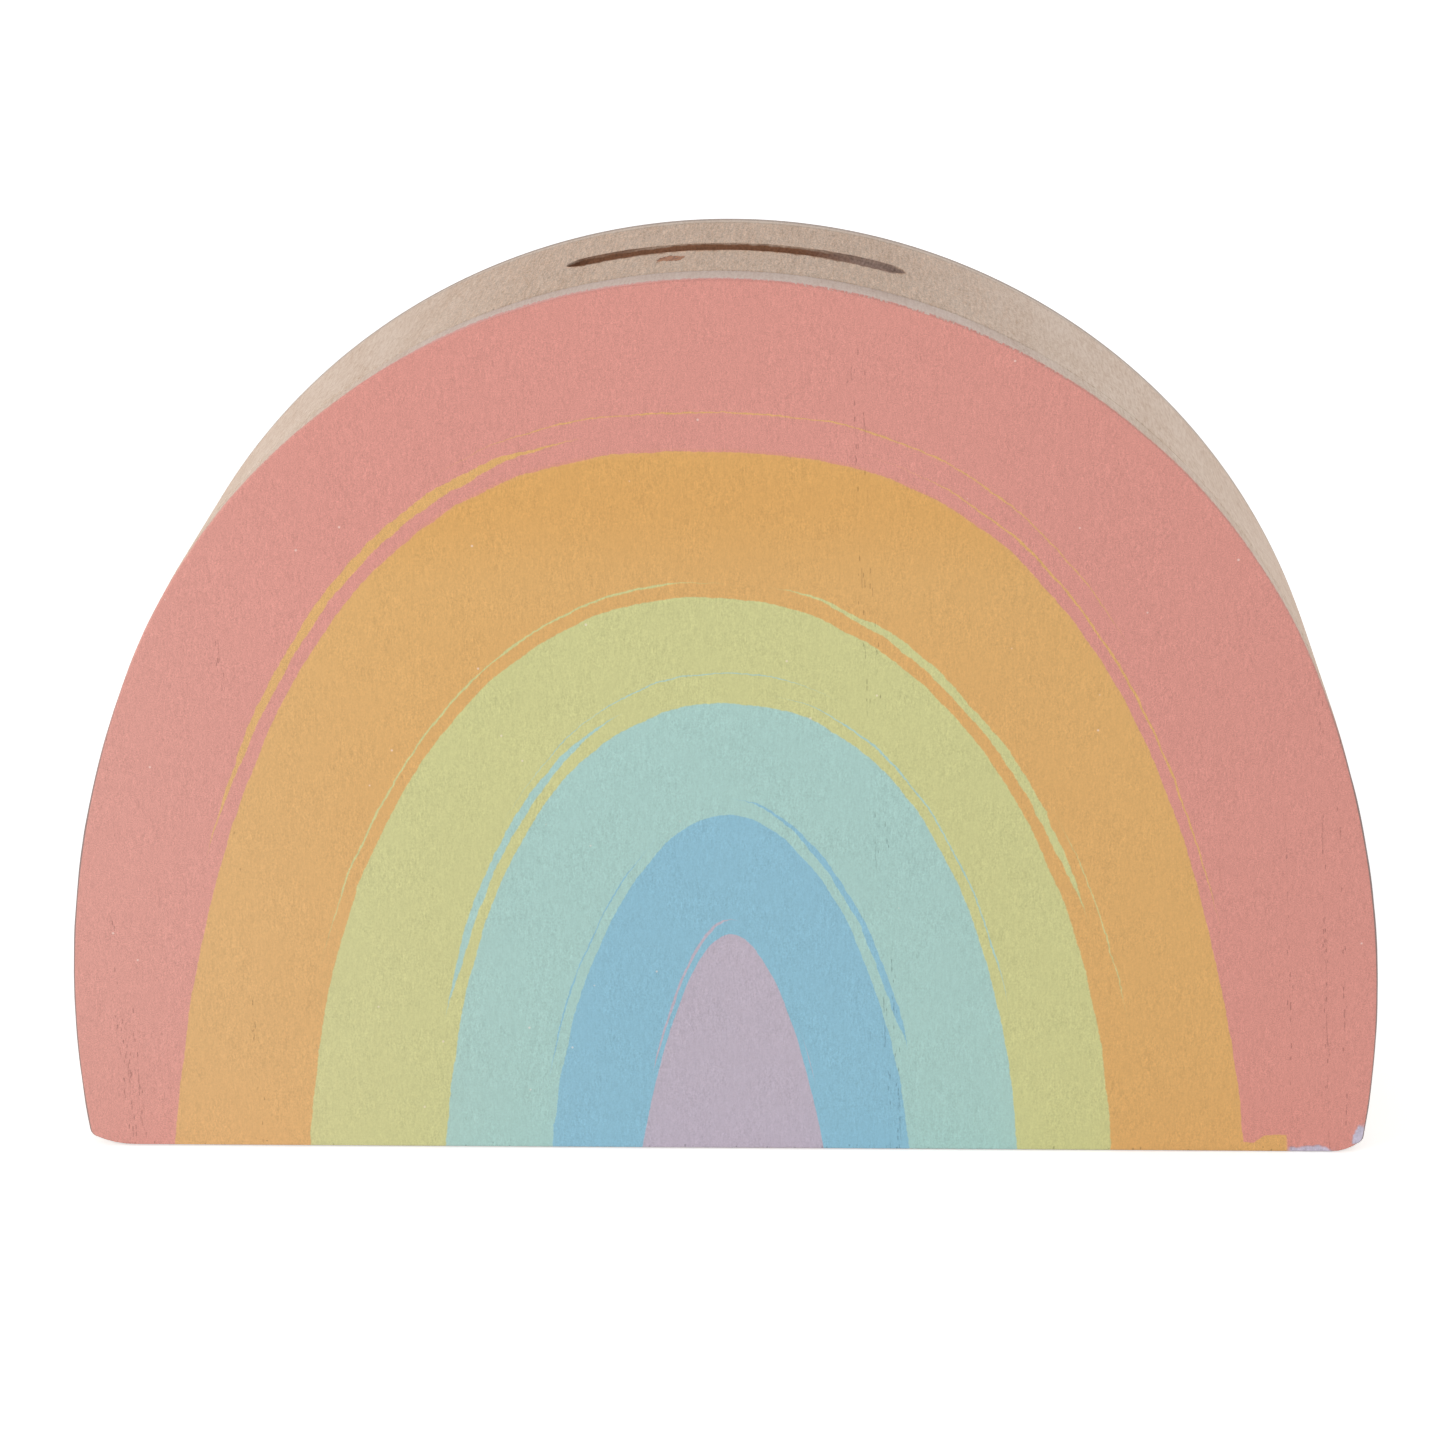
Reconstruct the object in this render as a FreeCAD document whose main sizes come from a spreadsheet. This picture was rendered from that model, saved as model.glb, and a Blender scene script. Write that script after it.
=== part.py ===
"""A wooden money box cut to the arch of a rainbow, modelled as the pieces it is glued up from.

The box is a sandwich. A front panel and a rear panel close the two faces of an arch-shaped rim, and a
base plank lies in rebates between the rim's two legs. The coin slot goes through the crown of the rim.
The rear panel is glued and pinned, and a moulded stopper fills the hole that the coins come out of.

Frame, in millimetres: +X to the right as seen from the front, +Y to the rear, +Z up. The origin is on
the ground, under the middle of the box.
"""

import FreeCAD, Part
import math
import os
import Sketcher

from FreeCAD import Placement, Rotation, Vector

# Driving sizes: name, value in millimetres or degrees, and what it measures.
SIZES = [
    ("width", "150", "widest part of the arch"),
    ("height", "102.3", "ground to crown"),
    ("depth", "38", "front face to rear face"),
    ("widest_height", "17", "ground to the widest part"),
    ("haunch_angle", "22", "where the side arcs meet the crown arc, above the horizontal"),
    ("corner_radius", "3.8", "rounding of the two bottom corners"),
    ("front_thickness", "5", "front panel"),
    ("rear_thickness", "3", "rear panel"),
    ("front_edge_radius", "0.4", "sanded edge round the front face"),
    ("rear_edge_radius", "0.7", "sanded edge round the rear face"),
    ("rim_wall", "12", "wall of the rim"),
    ("base_thickness", "10", "base plank"),
    ("rebate_depth", "3", "how far each plank end is let into a leg"),
    ("glue_gap", "0.1", "glue line between the plank and its rebates"),
    ("slot_length", "38.5", "coin slot, end to end"),
    ("slot_width", "4.4", "coin slot, front to rear"),
    ("slot_offset", "1.5", "coin slot, to the right of the middle"),
    ("slot_setback", "0.8", "coin slot, to the rear of the middle"),
    ("hole_diameter", "35", "hole in the rear panel"),
    ("hole_height", "47", "ground to the middle of that hole"),
    ("flange_overlap", "3.5", "how far the stopper's flange covers the panel round the hole"),
    ("flange_thickness", "3", "stopper flange"),
    ("flange_rounding", "1", "rounding of the flange's outer edge"),
    ("dish_rim", "4", "flat ring round the dish in the stopper's face"),
    ("dish_depth", "0.9", "dish in the stopper's face"),
    ("cap_thickness", "1.6", "floor of that dish"),
    ("grip_width", "5", "bar across the dish that fingertips pinch"),
    ("plug_length", "9", "stopper barrel, from the panel's rear face"),
    ("plug_wall", "2", "stopper barrel wall"),
    ("barrel_gap", "0.5", "between the stopper barrel and the hole"),
    ("bead_gap", "0.15", "between the stopper's holding bead and the hole"),
    ("bead_length", "2.4", "holding bead, along the barrel"),
    ("pin_diameter", "1.2", "panel pin shank"),
    ("pin_length", "13", "panel pin, head and point included"),
    ("pin_point", "2", "panel pin point"),
    ("pin_head_diameter", "2.2", "panel pin head"),
    ("pin_head_thickness", "0.7", "panel pin head"),
    ("crown_pin_angle", "27", "crown pins, either side of upright"),
    ("shoulder_pin_angle", "17", "upper leg pins, above the horizontal"),
    ("foot_pin_angle", "3", "lower leg pins, below the horizontal"),
    ("base_pin_spacing", "70", "between the two pins in the base plank"),
]

# Sizes that follow from the driving ones, each from those above it.
WORKED = [
    ("half_width", "Sizes.width / 2"),
    ("rise", "Sizes.height - Sizes.widest_height"),
    ("radius_step", "(rise - half_width) / (cos(Sizes.haunch_angle) + sin(Sizes.haunch_angle) - 1)"),
    ("side_radius", "half_width + radius_step * cos(Sizes.haunch_angle)"),
    ("side_centre", "half_width - side_radius"),
    ("crown_radius", "rise - radius_step * sin(Sizes.haunch_angle)"),
    ("crown_centre", "Sizes.height - crown_radius"),
    ("inner_side_radius", "side_radius - Sizes.rim_wall"),
    ("inner_crown_radius", "crown_radius - Sizes.rim_wall"),
    ("front_face", "-Sizes.depth / 2"),
    ("rear_face", "Sizes.depth / 2"),
    ("rim_front", "front_face + Sizes.front_thickness"),
    ("rim_rear", "rear_face - Sizes.rear_thickness"),
    ("rim_depth", "rim_rear - rim_front"),
    ("plank_level", "Sizes.widest_height - Sizes.base_thickness"),
    ("leg_inside", "side_centre + sqrt(inner_side_radius^2 - plank_level^2)"),
    ("rebate_half", "leg_inside + Sizes.rebate_depth"),
    ("plank_half", "rebate_half - Sizes.glue_gap"),
    ("plank_top", "Sizes.base_thickness - Sizes.glue_gap"),
    ("slot_radius", "Sizes.slot_width / 2"),
    ("slot_run", "Sizes.slot_length / 2 - slot_radius"),
    ("slot_left", "Sizes.slot_offset - slot_run"),
    ("slot_right", "Sizes.slot_offset + slot_run"),
    ("crown_pin_reach", "crown_radius - Sizes.rim_wall / 2"),
    ("crown_pin_x", "crown_pin_reach * sin(Sizes.crown_pin_angle)"),
    ("crown_pin_z", "crown_centre + crown_pin_reach * cos(Sizes.crown_pin_angle)"),
    ("leg_pin_reach", "side_radius - Sizes.rim_wall / 2"),
    ("shoulder_pin_x", "side_centre + leg_pin_reach * cos(Sizes.shoulder_pin_angle)"),
    ("shoulder_pin_z", "Sizes.widest_height + leg_pin_reach * sin(Sizes.shoulder_pin_angle)"),
    ("foot_pin_x", "side_centre + leg_pin_reach * cos(Sizes.foot_pin_angle)"),
    ("foot_pin_z", "Sizes.widest_height - leg_pin_reach * sin(Sizes.foot_pin_angle)"),
    ("base_pin_x", "Sizes.base_pin_spacing / 2"),
    ("base_pin_z", "Sizes.base_thickness / 2"),
    ("pin_radius", "Sizes.pin_diameter / 2"),
    ("pin_head_radius", "Sizes.pin_head_diameter / 2"),
    ("pin_tip", "rear_face - Sizes.pin_length"),
    ("pin_shank_start", "pin_tip + Sizes.pin_point"),
    ("pin_head_seat", "rear_face - Sizes.pin_head_thickness"),
    ("pin_shank_length", "pin_head_seat - pin_shank_start"),
    ("hole_radius", "Sizes.hole_diameter / 2"),
    ("flange_radius", "hole_radius + Sizes.flange_overlap"),
    ("flange_face", "rear_face + Sizes.flange_thickness"),
    ("dish_radius", "flange_radius - Sizes.dish_rim"),
    ("dish_floor", "flange_face - Sizes.dish_depth"),
    ("cap_inside", "dish_floor - Sizes.cap_thickness"),
    ("grip_low", "Sizes.hole_height - Sizes.grip_width / 2"),
    ("grip_high", "Sizes.hole_height + Sizes.grip_width / 2"),
    ("barrel_radius", "hole_radius - Sizes.barrel_gap"),
    ("barrel_inside", "barrel_radius - Sizes.plug_wall"),
    ("barrel_end", "rear_face - Sizes.plug_length"),
    ("bead_radius", "hole_radius - Sizes.bead_gap"),
    ("bead_crest", "barrel_end + Sizes.bead_length / 2"),
    ("bead_start", "barrel_end + Sizes.bead_length"),
]

# Two places closer than this, in millimetres, are the same place.
SAME_PLACE = 1e-4

doc = FreeCAD.newDocument("MoneyBox")


def make_sheet(name, rows):
    """A sheet with a name, a value and a note in each row. The name is the value's alias."""
    sheet = doc.addObject("Spreadsheet::Sheet", name)
    for row, (alias, content, note) in enumerate(rows, start=1):
        sheet.set(f"A{row}", alias)
        sheet.set(f"B{row}", content)
        sheet.set(f"C{row}", note)
        sheet.setAlias(f"B{row}", alias)
    doc.recompute()


def number(cell):
    """The value of a cell such as Sizes.width, or the opposite of it where a minus sign stands before it."""
    sheet, alias = cell.lstrip("-").split(".")
    value = float(getattr(doc.getObject(sheet), alias))
    return -value if cell.startswith("-") else value


def new_body(label):
    body = doc.addObject("PartDesign::Body", label)
    body.Label = label
    return body


def new_sketch(body, name, role):
    """A sketch on one of the body's own origin planes."""
    sketch = body.newObject("Sketcher::SketchObject", name)
    plane = next(f for f in body.Origin.OriginFeatures if f.Role == role)
    sketch.AttachmentSupport = [(plane, "")]
    sketch.MapMode = "FlatFace"
    return sketch


def upright_sketch(body, name, y):
    """A sketch in the upright plane at that y. Its normal points to the front, so a pad grows forward
    from it and a pocket cuts to the rear."""
    sketch = new_sketch(body, name, "XZ_Plane")
    sketch.setExpression("AttachmentOffset.Base.z", f"-{y}")
    return sketch


def bind(sketch, kind, *where, cell):
    """Adds a dimension to the sketch and binds it to a cell."""
    index = sketch.addConstraint(Sketcher.Constraint(kind, *where, number(cell)))
    sketch.setExpression(f"Constraints[{index}]", cell)


def place_point(sketch, geometry, vertex, x, y):
    """Binds a point of the sketch to cells x and y, or puts it on an axis where one of them is 0."""
    for kind, axis, cell in (("DistanceX", -2, x), ("DistanceY", -1, y)):
        if cell == "0":
            sketch.addConstraint(Sketcher.Constraint("PointOnObject", geometry, vertex, axis))
        else:
            bind(sketch, kind, -1, 1, geometry, vertex, cell=cell)


def point(x, y):
    return Vector(*(0 if cell == "0" else number(cell) for cell in (x, y)), 0)


def draw_polygon(sketch, corners):
    """A closed polygon with its corners at pairs of cells."""
    points = [point(x, y) for x, y in corners]
    lines = [
        sketch.addGeometry(Part.LineSegment(start, end), False)
        for start, end in zip(points, points[1:] + points[:1])
    ]
    for line, following in zip(lines, lines[1:] + lines[:1]):
        sketch.addConstraint(Sketcher.Constraint("Coincident", line, 2, following, 1))
    for line, (x, y) in zip(lines, corners):
        place_point(sketch, line, 1, x, y)


def draw_circles(sketch, centres, radius):
    for x, y in centres:
        circle = Part.Circle(point(x, y), Vector(0, 0, 1), number(radius))
        index = sketch.addGeometry(circle, False)
        place_point(sketch, index, 3, x, y)
        bind(sketch, "Radius", index, cell=radius)


def add_arc(sketch, centre, radius, start, end):
    circle = Part.Circle(centre, Vector(0, 0, 1), radius)
    return sketch.addGeometry(Part.ArcOfCircle(circle, start, end), False)


def draw_arch(sketch, side_radius, crown_radius):
    """The arch: a straight base on the ground, two side arcs and a crown arc, tangent where they meet."""
    side_x, side_z = number("Worked.side_centre"), number("Sizes.widest_height")
    crown_z = number("Worked.crown_centre")
    radius = number(side_radius)
    haunch = math.radians(number("Sizes.haunch_angle"))
    foot = -math.asin(side_z / radius)
    foot_x = side_x + radius * math.cos(foot)
    base = sketch.addGeometry(Part.LineSegment(Vector(-foot_x, 0, 0), Vector(foot_x, 0, 0)), False)
    right = add_arc(sketch, Vector(side_x, side_z, 0), radius, foot, haunch)
    crown = add_arc(sketch, Vector(0, crown_z, 0), number(crown_radius), haunch, math.pi - haunch)
    left = add_arc(sketch, Vector(-side_x, side_z, 0), radius, math.pi - haunch, math.pi - foot)
    for constraint in (
        ("Coincident", base, 2, right, 1),
        ("Tangent", right, 2, crown, 1),
        ("Tangent", crown, 2, left, 1),
        ("Coincident", left, 2, base, 1),
        ("PointOnObject", base, 1, -1),
        ("PointOnObject", base, 2, -1),
        ("Equal", right, left),
    ):
        sketch.addConstraint(Sketcher.Constraint(*constraint))
    place_point(sketch, crown, 3, "0", "Worked.crown_centre")
    bind(sketch, "Radius", crown, cell=crown_radius)
    bind(sketch, "Radius", right, cell=side_radius)
    for side in (right, left):
        bind(sketch, "DistanceY", -1, 1, side, 3, cell="Sizes.widest_height")


def draw_outer_arch(sketch):
    draw_arch(sketch, "Worked.side_radius", "Worked.crown_radius")


def draw_slot(sketch, left_x, right_x, y, radius):
    """A slot with round ends, along the sketch's X axis, its middle line at cell y."""
    start, end = point(left_x, y), point(right_x, y)
    half = number(radius)
    side = Vector(0, half, 0)
    quarter = math.pi / 2
    front = sketch.addGeometry(Part.LineSegment(start - side, end - side), False)
    right = add_arc(sketch, end, half, -quarter, quarter)
    rear = sketch.addGeometry(Part.LineSegment(end + side, start + side), False)
    left = add_arc(sketch, start, half, quarter, 3 * quarter)
    ring = [front, right, rear, left]
    for piece, following in zip(ring, ring[1:] + ring[:1]):
        sketch.addConstraint(Sketcher.Constraint("Tangent", piece, 2, following, 1))
    sketch.addConstraint(Sketcher.Constraint("Equal", right, left))
    place_point(sketch, right, 3, right_x, y)
    place_point(sketch, left, 3, left_x, y)
    bind(sketch, "Radius", right, cell=radius)


def pad(body, sketch, length, backwards=False):
    feature = body.newObject("PartDesign::Pad", sketch.Name + "_pad")
    feature.Profile = sketch
    feature.setExpression("Length", length)
    feature.Reversed = backwards
    doc.recompute()
    return feature


def pocket(body, sketch):
    """Cuts the sketch right through, against its normal, and makes sure that something was cut."""
    before = body.Shape.Volume
    feature = body.newObject("PartDesign::Pocket", sketch.Name + "_pocket")
    feature.Profile = sketch
    feature.Type = "ThroughAll"
    doc.recompute()
    if body.Shape.Volume > before - SAME_PLACE:
        raise RuntimeError(f"{feature.Name} cut nothing")
    return feature


def fillet(body, feature, references, radius):
    rounded = body.newObject("PartDesign::Fillet", feature.Name + "_round")
    rounded.Base = (feature, references)
    rounded.setExpression("Radius", radius)
    doc.recompute()
    return rounded


def runs_along_ground(edge):
    """Whether an edge lies on the ground and runs from front to rear."""
    box = edge.BoundBox
    return abs(box.ZMin) < SAME_PLACE and box.ZLength < SAME_PLACE and box.XLength < SAME_PLACE


def round_bottom_corners(body, feature):
    """Rounds the two outermost edges that run along the ground, where the side arcs end."""
    edges = {
        f"Edge{i}": abs(edge.BoundBox.Center.x)
        for i, edge in enumerate(feature.Shape.Edges, start=1) if runs_along_ground(edge)
    }
    reach = max(edges.values())
    corners = [name for name, x in edges.items() if abs(x - reach) < SAME_PLACE]
    return fillet(body, feature, corners, "Sizes.corner_radius")


def face_at(feature, y):
    """The name of the flat face that lies in the upright plane at that y."""
    for i, face in enumerate(feature.Shape.Faces, start=1):
        box = face.BoundBox
        if abs(box.YMin - y) < SAME_PLACE and box.YLength < SAME_PLACE:
            return f"Face{i}"
    raise RuntimeError(f"{feature.Name} has no face at y = {y}")


def either_side(place):
    return [(f"{sign}Worked.{place}_pin_x", f"Worked.{place}_pin_z") for sign in ("-", "")]


def rim_pin_places():
    """Where the panel pins enter the rim: the crown and both legs, in the middle of the wall."""
    return either_side("crown") + either_side("shoulder") + either_side("foot")


def plank_pin_places():
    return either_side("base")


def make_front_panel():
    """The board that carries the painted bands, with a sanded edge all round its face."""
    body = new_body("front_panel")
    outline = upright_sketch(body, "front_outline", "Worked.rim_front")
    draw_outer_arch(outline)
    board = pad(body, outline, "Sizes.front_thickness")
    board = round_bottom_corners(body, board)
    fillet(body, board, [face_at(board, number("Worked.front_face"))], "Sizes.front_edge_radius")
    return body


def make_arch_rim():
    """The rim: an arch with the coin slot through its crown and a rebate for the base plank in each leg."""
    body = new_body("arch_rim")
    outline = upright_sketch(body, "rim_outline", "Worked.rim_rear")
    draw_outer_arch(outline)
    pad(body, outline, "Worked.rim_depth")
    inside = upright_sketch(body, "rim_inside", "Worked.rim_front")
    draw_arch(inside, "Worked.inner_side_radius", "Worked.inner_crown_radius")
    pocket(body, inside)
    rebate = upright_sketch(body, "rim_rebate", "Worked.rim_front")
    draw_polygon(rebate, [
        ("-Worked.rebate_half", "0"),
        ("Worked.rebate_half", "0"),
        ("Worked.rebate_half", "Sizes.base_thickness"),
        ("-Worked.rebate_half", "Sizes.base_thickness"),
    ])
    pocket(body, rebate)
    slot = new_sketch(body, "coin_slot", "XY_Plane")
    slot.setExpression("AttachmentOffset.Base.z", "Sizes.height")
    draw_slot(slot, "Worked.slot_left", "Worked.slot_right", "Sizes.slot_setback", "Worked.slot_radius")
    pocket(body, slot)
    holes = upright_sketch(body, "rim_pin_holes", "Worked.pin_tip")
    draw_circles(holes, rim_pin_places(), "Worked.pin_radius")
    round_bottom_corners(body, pocket(body, holes))
    return body


def make_base_plank():
    """The plank that the box stands on, let into the legs at both ends."""
    body = new_body("base_plank")
    section = upright_sketch(body, "plank_section", "Worked.rim_rear")
    draw_polygon(section, [
        ("-Worked.plank_half", "0"),
        ("Worked.plank_half", "0"),
        ("Worked.plank_half", "Worked.plank_top"),
        ("-Worked.plank_half", "Worked.plank_top"),
    ])
    pad(body, section, "Worked.rim_depth")
    holes = upright_sketch(body, "plank_pin_holes", "Worked.pin_tip")
    draw_circles(holes, plank_pin_places(), "Worked.pin_radius")
    pocket(body, holes)
    return body


def make_rear_panel():
    """The rear board, with the hole for the stopper and a hole for each panel pin and its head."""
    body = new_body("rear_panel")
    outline = upright_sketch(body, "rear_outline", "Worked.rear_face")
    draw_outer_arch(outline)
    board = pad(body, outline, "Sizes.rear_thickness")
    board = round_bottom_corners(body, board)
    fillet(body, board, [face_at(board, number("Worked.rear_face"))], "Sizes.rear_edge_radius")
    hole = upright_sketch(body, "stopper_hole", "Worked.rim_rear")
    draw_circles(hole, [("0", "Sizes.hole_height")], "Worked.hole_radius")
    pocket(body, hole)
    places = rim_pin_places() + plank_pin_places()
    shanks = upright_sketch(body, "panel_pin_holes", "Worked.rim_rear")
    draw_circles(shanks, places, "Worked.pin_radius")
    pocket(body, shanks)
    heads = upright_sketch(body, "panel_pin_heads", "Worked.pin_head_seat")
    draw_circles(heads, places, "Worked.pin_head_radius")
    pocket(body, heads)
    return body


def make_stopper():
    """The moulded stopper: a hollow barrel with a holding bead, and a dished flange with a grip bar."""
    body = new_body("stopper")
    profile = new_sketch(body, "stopper_profile", "YZ_Plane")
    profile.setExpression("AttachmentOffset.Base.y", "Sizes.hole_height")
    draw_polygon(profile, [
        ("Worked.dish_floor", "0"),
        ("Worked.dish_floor", "Worked.dish_radius"),
        ("Worked.flange_face", "Worked.dish_radius"),
        ("Worked.flange_face", "Worked.flange_radius"),
        ("Worked.rear_face", "Worked.flange_radius"),
        ("Worked.rear_face", "Worked.barrel_radius"),
        ("Worked.bead_start", "Worked.barrel_radius"),
        ("Worked.bead_crest", "Worked.bead_radius"),
        ("Worked.barrel_end", "Worked.barrel_radius"),
        ("Worked.barrel_end", "Worked.barrel_inside"),
        ("Worked.cap_inside", "Worked.barrel_inside"),
        ("Worked.cap_inside", "0"),
    ])
    turned = body.newObject("PartDesign::Revolution", "stopper_turned")
    turned.Profile = profile
    turned.ReferenceAxis = (profile, ["H_Axis"])
    turned.Angle = 360
    doc.recompute()
    grip = upright_sketch(body, "stopper_grip", "Worked.dish_floor")
    draw_polygon(grip, [
        ("-Worked.dish_radius", "Worked.grip_low"),
        ("Worked.dish_radius", "Worked.grip_low"),
        ("Worked.dish_radius", "Worked.grip_high"),
        ("-Worked.dish_radius", "Worked.grip_high"),
    ])
    bar = pad(body, grip, "Sizes.dish_depth", backwards=True)
    radius, y = number("Worked.flange_radius"), number("Worked.flange_face")
    rim = [
        f"Edge{i}" for i, edge in enumerate(bar.Shape.Edges, start=1)
        if isinstance(edge.Curve, Part.Circle)
        and abs(edge.Curve.Radius - radius) < SAME_PLACE and abs(edge.Curve.Center.y - y) < SAME_PLACE
    ]
    fillet(body, bar, rim, "Sizes.flange_rounding")
    return body


def turned_piece(kind, name, x, y, z, **sizes):
    """A primitive with its axis to the rear, its place and its sizes bound to cells."""
    piece = doc.addObject(kind, name)
    piece.Placement = Placement(Vector(), Rotation(Vector(1, 0, 0), -90))
    for axis, cell in zip("xyz", (x, y, z)):
        piece.setExpression(f"Placement.Base.{axis}", cell)
    for size, cell in sizes.items():
        piece.setExpression(size, cell)
    return piece


def make_panel_pins():
    """The steel pins that hold the rear panel, each a solid of its own: a point, a shank and a flush head."""
    pins = []
    for i, (x, z) in enumerate(rim_pin_places() + plank_pin_places(), start=1):
        tip = turned_piece("Part::Cone", f"pin_{i}_point", x, "Worked.pin_tip", z,
                           Radius2="Worked.pin_radius", Height="Sizes.pin_point")
        tip.Radius1 = 0
        shank = turned_piece("Part::Cylinder", f"pin_{i}_shank", x, "Worked.pin_shank_start", z,
                             Radius="Worked.pin_radius", Height="Worked.pin_shank_length")
        head = turned_piece("Part::Cylinder", f"pin_{i}_head", x, "Worked.pin_head_seat", z,
                            Radius="Worked.pin_head_radius", Height="Sizes.pin_head_thickness")
        pin = doc.addObject("Part::MultiFuse", f"pin_{i}")
        pin.Shapes = [tip, shank, head]
        pins.append(pin)
    group = doc.addObject("Part::Compound", "panel_pins")
    group.Links = pins
    return group


def check_document(sub_parts):
    """Stops on any feature that failed, and on any sub-part with no valid solid."""
    for obj in doc.Objects:
        if "Invalid" in obj.State or "Error" in obj.State:
            raise RuntimeError(f"{obj.Label} failed: {obj.State}")
    for part in sub_parts:
        if part.Shape.isNull() or not part.Shape.isValid() or not part.Shape.Solids:
            raise RuntimeError(f"{part.Label} has no valid solid")


def main():
    make_sheet("Sizes", SIZES)
    make_sheet("Worked", [(name, f"={formula}", "") for name, formula in WORKED])
    sub_parts = [
        make_front_panel(),
        make_arch_rim(),
        make_base_plank(),
        make_rear_panel(),
        make_stopper(),
        make_panel_pins(),
    ]
    doc.recompute()
    check_document(sub_parts)
    os.makedirs("parts", exist_ok=True)
    for part in sub_parts:
        part.Shape.exportStep(f"parts/{part.Label}.step")
        print(f"{part.Label}: solids {len(part.Shape.Solids)}, volume {part.Shape.Volume / 1000:.3f} cm3")


main()
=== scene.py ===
"""A wooden money box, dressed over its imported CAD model.

A painted front board, a bare wooden arch with a coin slot, a base plank, a rear board held by steel pins
and a rubber stopper that pulls out of the rear board. Lengths are in metres unless a name or a comment
says millimetres, in the CAD model's frame: +X to the right, +Y to the rear and +Z up.
"""

import math
from collections import namedtuple

import bmesh
import bpy
from bpy.props import FloatProperty, FloatVectorProperty, PointerProperty
from bpy.types import Operator, Panel, PropertyGroup
from mathutils import Matrix, Vector


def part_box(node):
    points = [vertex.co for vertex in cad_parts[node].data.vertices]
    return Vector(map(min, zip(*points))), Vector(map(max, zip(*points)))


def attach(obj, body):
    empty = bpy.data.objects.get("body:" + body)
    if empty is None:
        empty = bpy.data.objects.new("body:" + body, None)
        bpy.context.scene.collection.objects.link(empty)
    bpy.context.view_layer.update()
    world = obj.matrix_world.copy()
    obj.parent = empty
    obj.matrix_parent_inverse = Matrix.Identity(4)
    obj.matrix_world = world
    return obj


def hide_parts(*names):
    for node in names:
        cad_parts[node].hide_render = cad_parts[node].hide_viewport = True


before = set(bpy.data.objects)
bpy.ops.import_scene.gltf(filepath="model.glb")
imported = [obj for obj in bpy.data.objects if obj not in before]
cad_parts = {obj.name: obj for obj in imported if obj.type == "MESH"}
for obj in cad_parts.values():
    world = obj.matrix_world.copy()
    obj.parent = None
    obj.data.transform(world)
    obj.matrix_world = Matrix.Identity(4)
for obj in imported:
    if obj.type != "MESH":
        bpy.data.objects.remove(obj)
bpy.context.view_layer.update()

bl_info = {
    "name": "Wooden Money Box",
    "version": (1, 0, 0),
    "blender": (4, 5, 0),
    "location": "3D View > Sidebar > Money Box",
    "description": "Models and finishes a wooden money box over its CAD frame",
    "category": "Object",
}

MM = 0.001
FRONT_LOW, FRONT_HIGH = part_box("front_panel")
PLANK_LOW, PLANK_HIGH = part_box("base_plank")
REAR_LOW, REAR_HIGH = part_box("rear_panel")
STOPPER_LOW, STOPPER_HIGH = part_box("stopper")

CROWN_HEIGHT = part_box("arch_rim")[1].z
FRONT_FACE = FRONT_LOW.y
FRONT_JOINT = FRONT_HIGH.y
REAR_JOINT = REAR_LOW.y
REAR_FACE = REAR_HIGH.y
HOLE_HEIGHT = (STOPPER_LOW.z + STOPPER_HIGH.z) / 2

# Two places closer than this are the same place.
SAME = 0.02 * MM
SMOOTH_ANGLE = math.radians(32)
# How far apart the points of an outline lie at most, and how far it turns between them.
OUTLINE_STEP = 1.1 * MM
OUTLINE_TURN = math.radians(10)


def screen(red, green, blue):
    """A colour as a screen shows it, 0 to 255, in the linear numbers that shaders take."""
    return tuple(((value / 255 + 0.055) / 1.055) ** 2.4 for value in (red, green, blue))


def length(name, description, default):
    """A length that a user may change."""
    return FloatProperty(name=name, description=description, default=default, min=0, unit="LENGTH",
                         subtype="DISTANCE")


def angle(name, description, degrees):
    """An angle that a user may change."""
    return FloatProperty(name=name, description=description, default=math.radians(degrees), min=0,
                         unit="ROTATION", subtype="ANGLE")


def tint(name, description, *shown):
    """A colour that a user may change, given as a screen shows it."""
    return FloatVectorProperty(name=name, description=description, default=screen(*shown), size=3, min=0,
                               max=1, subtype="COLOR")


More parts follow.
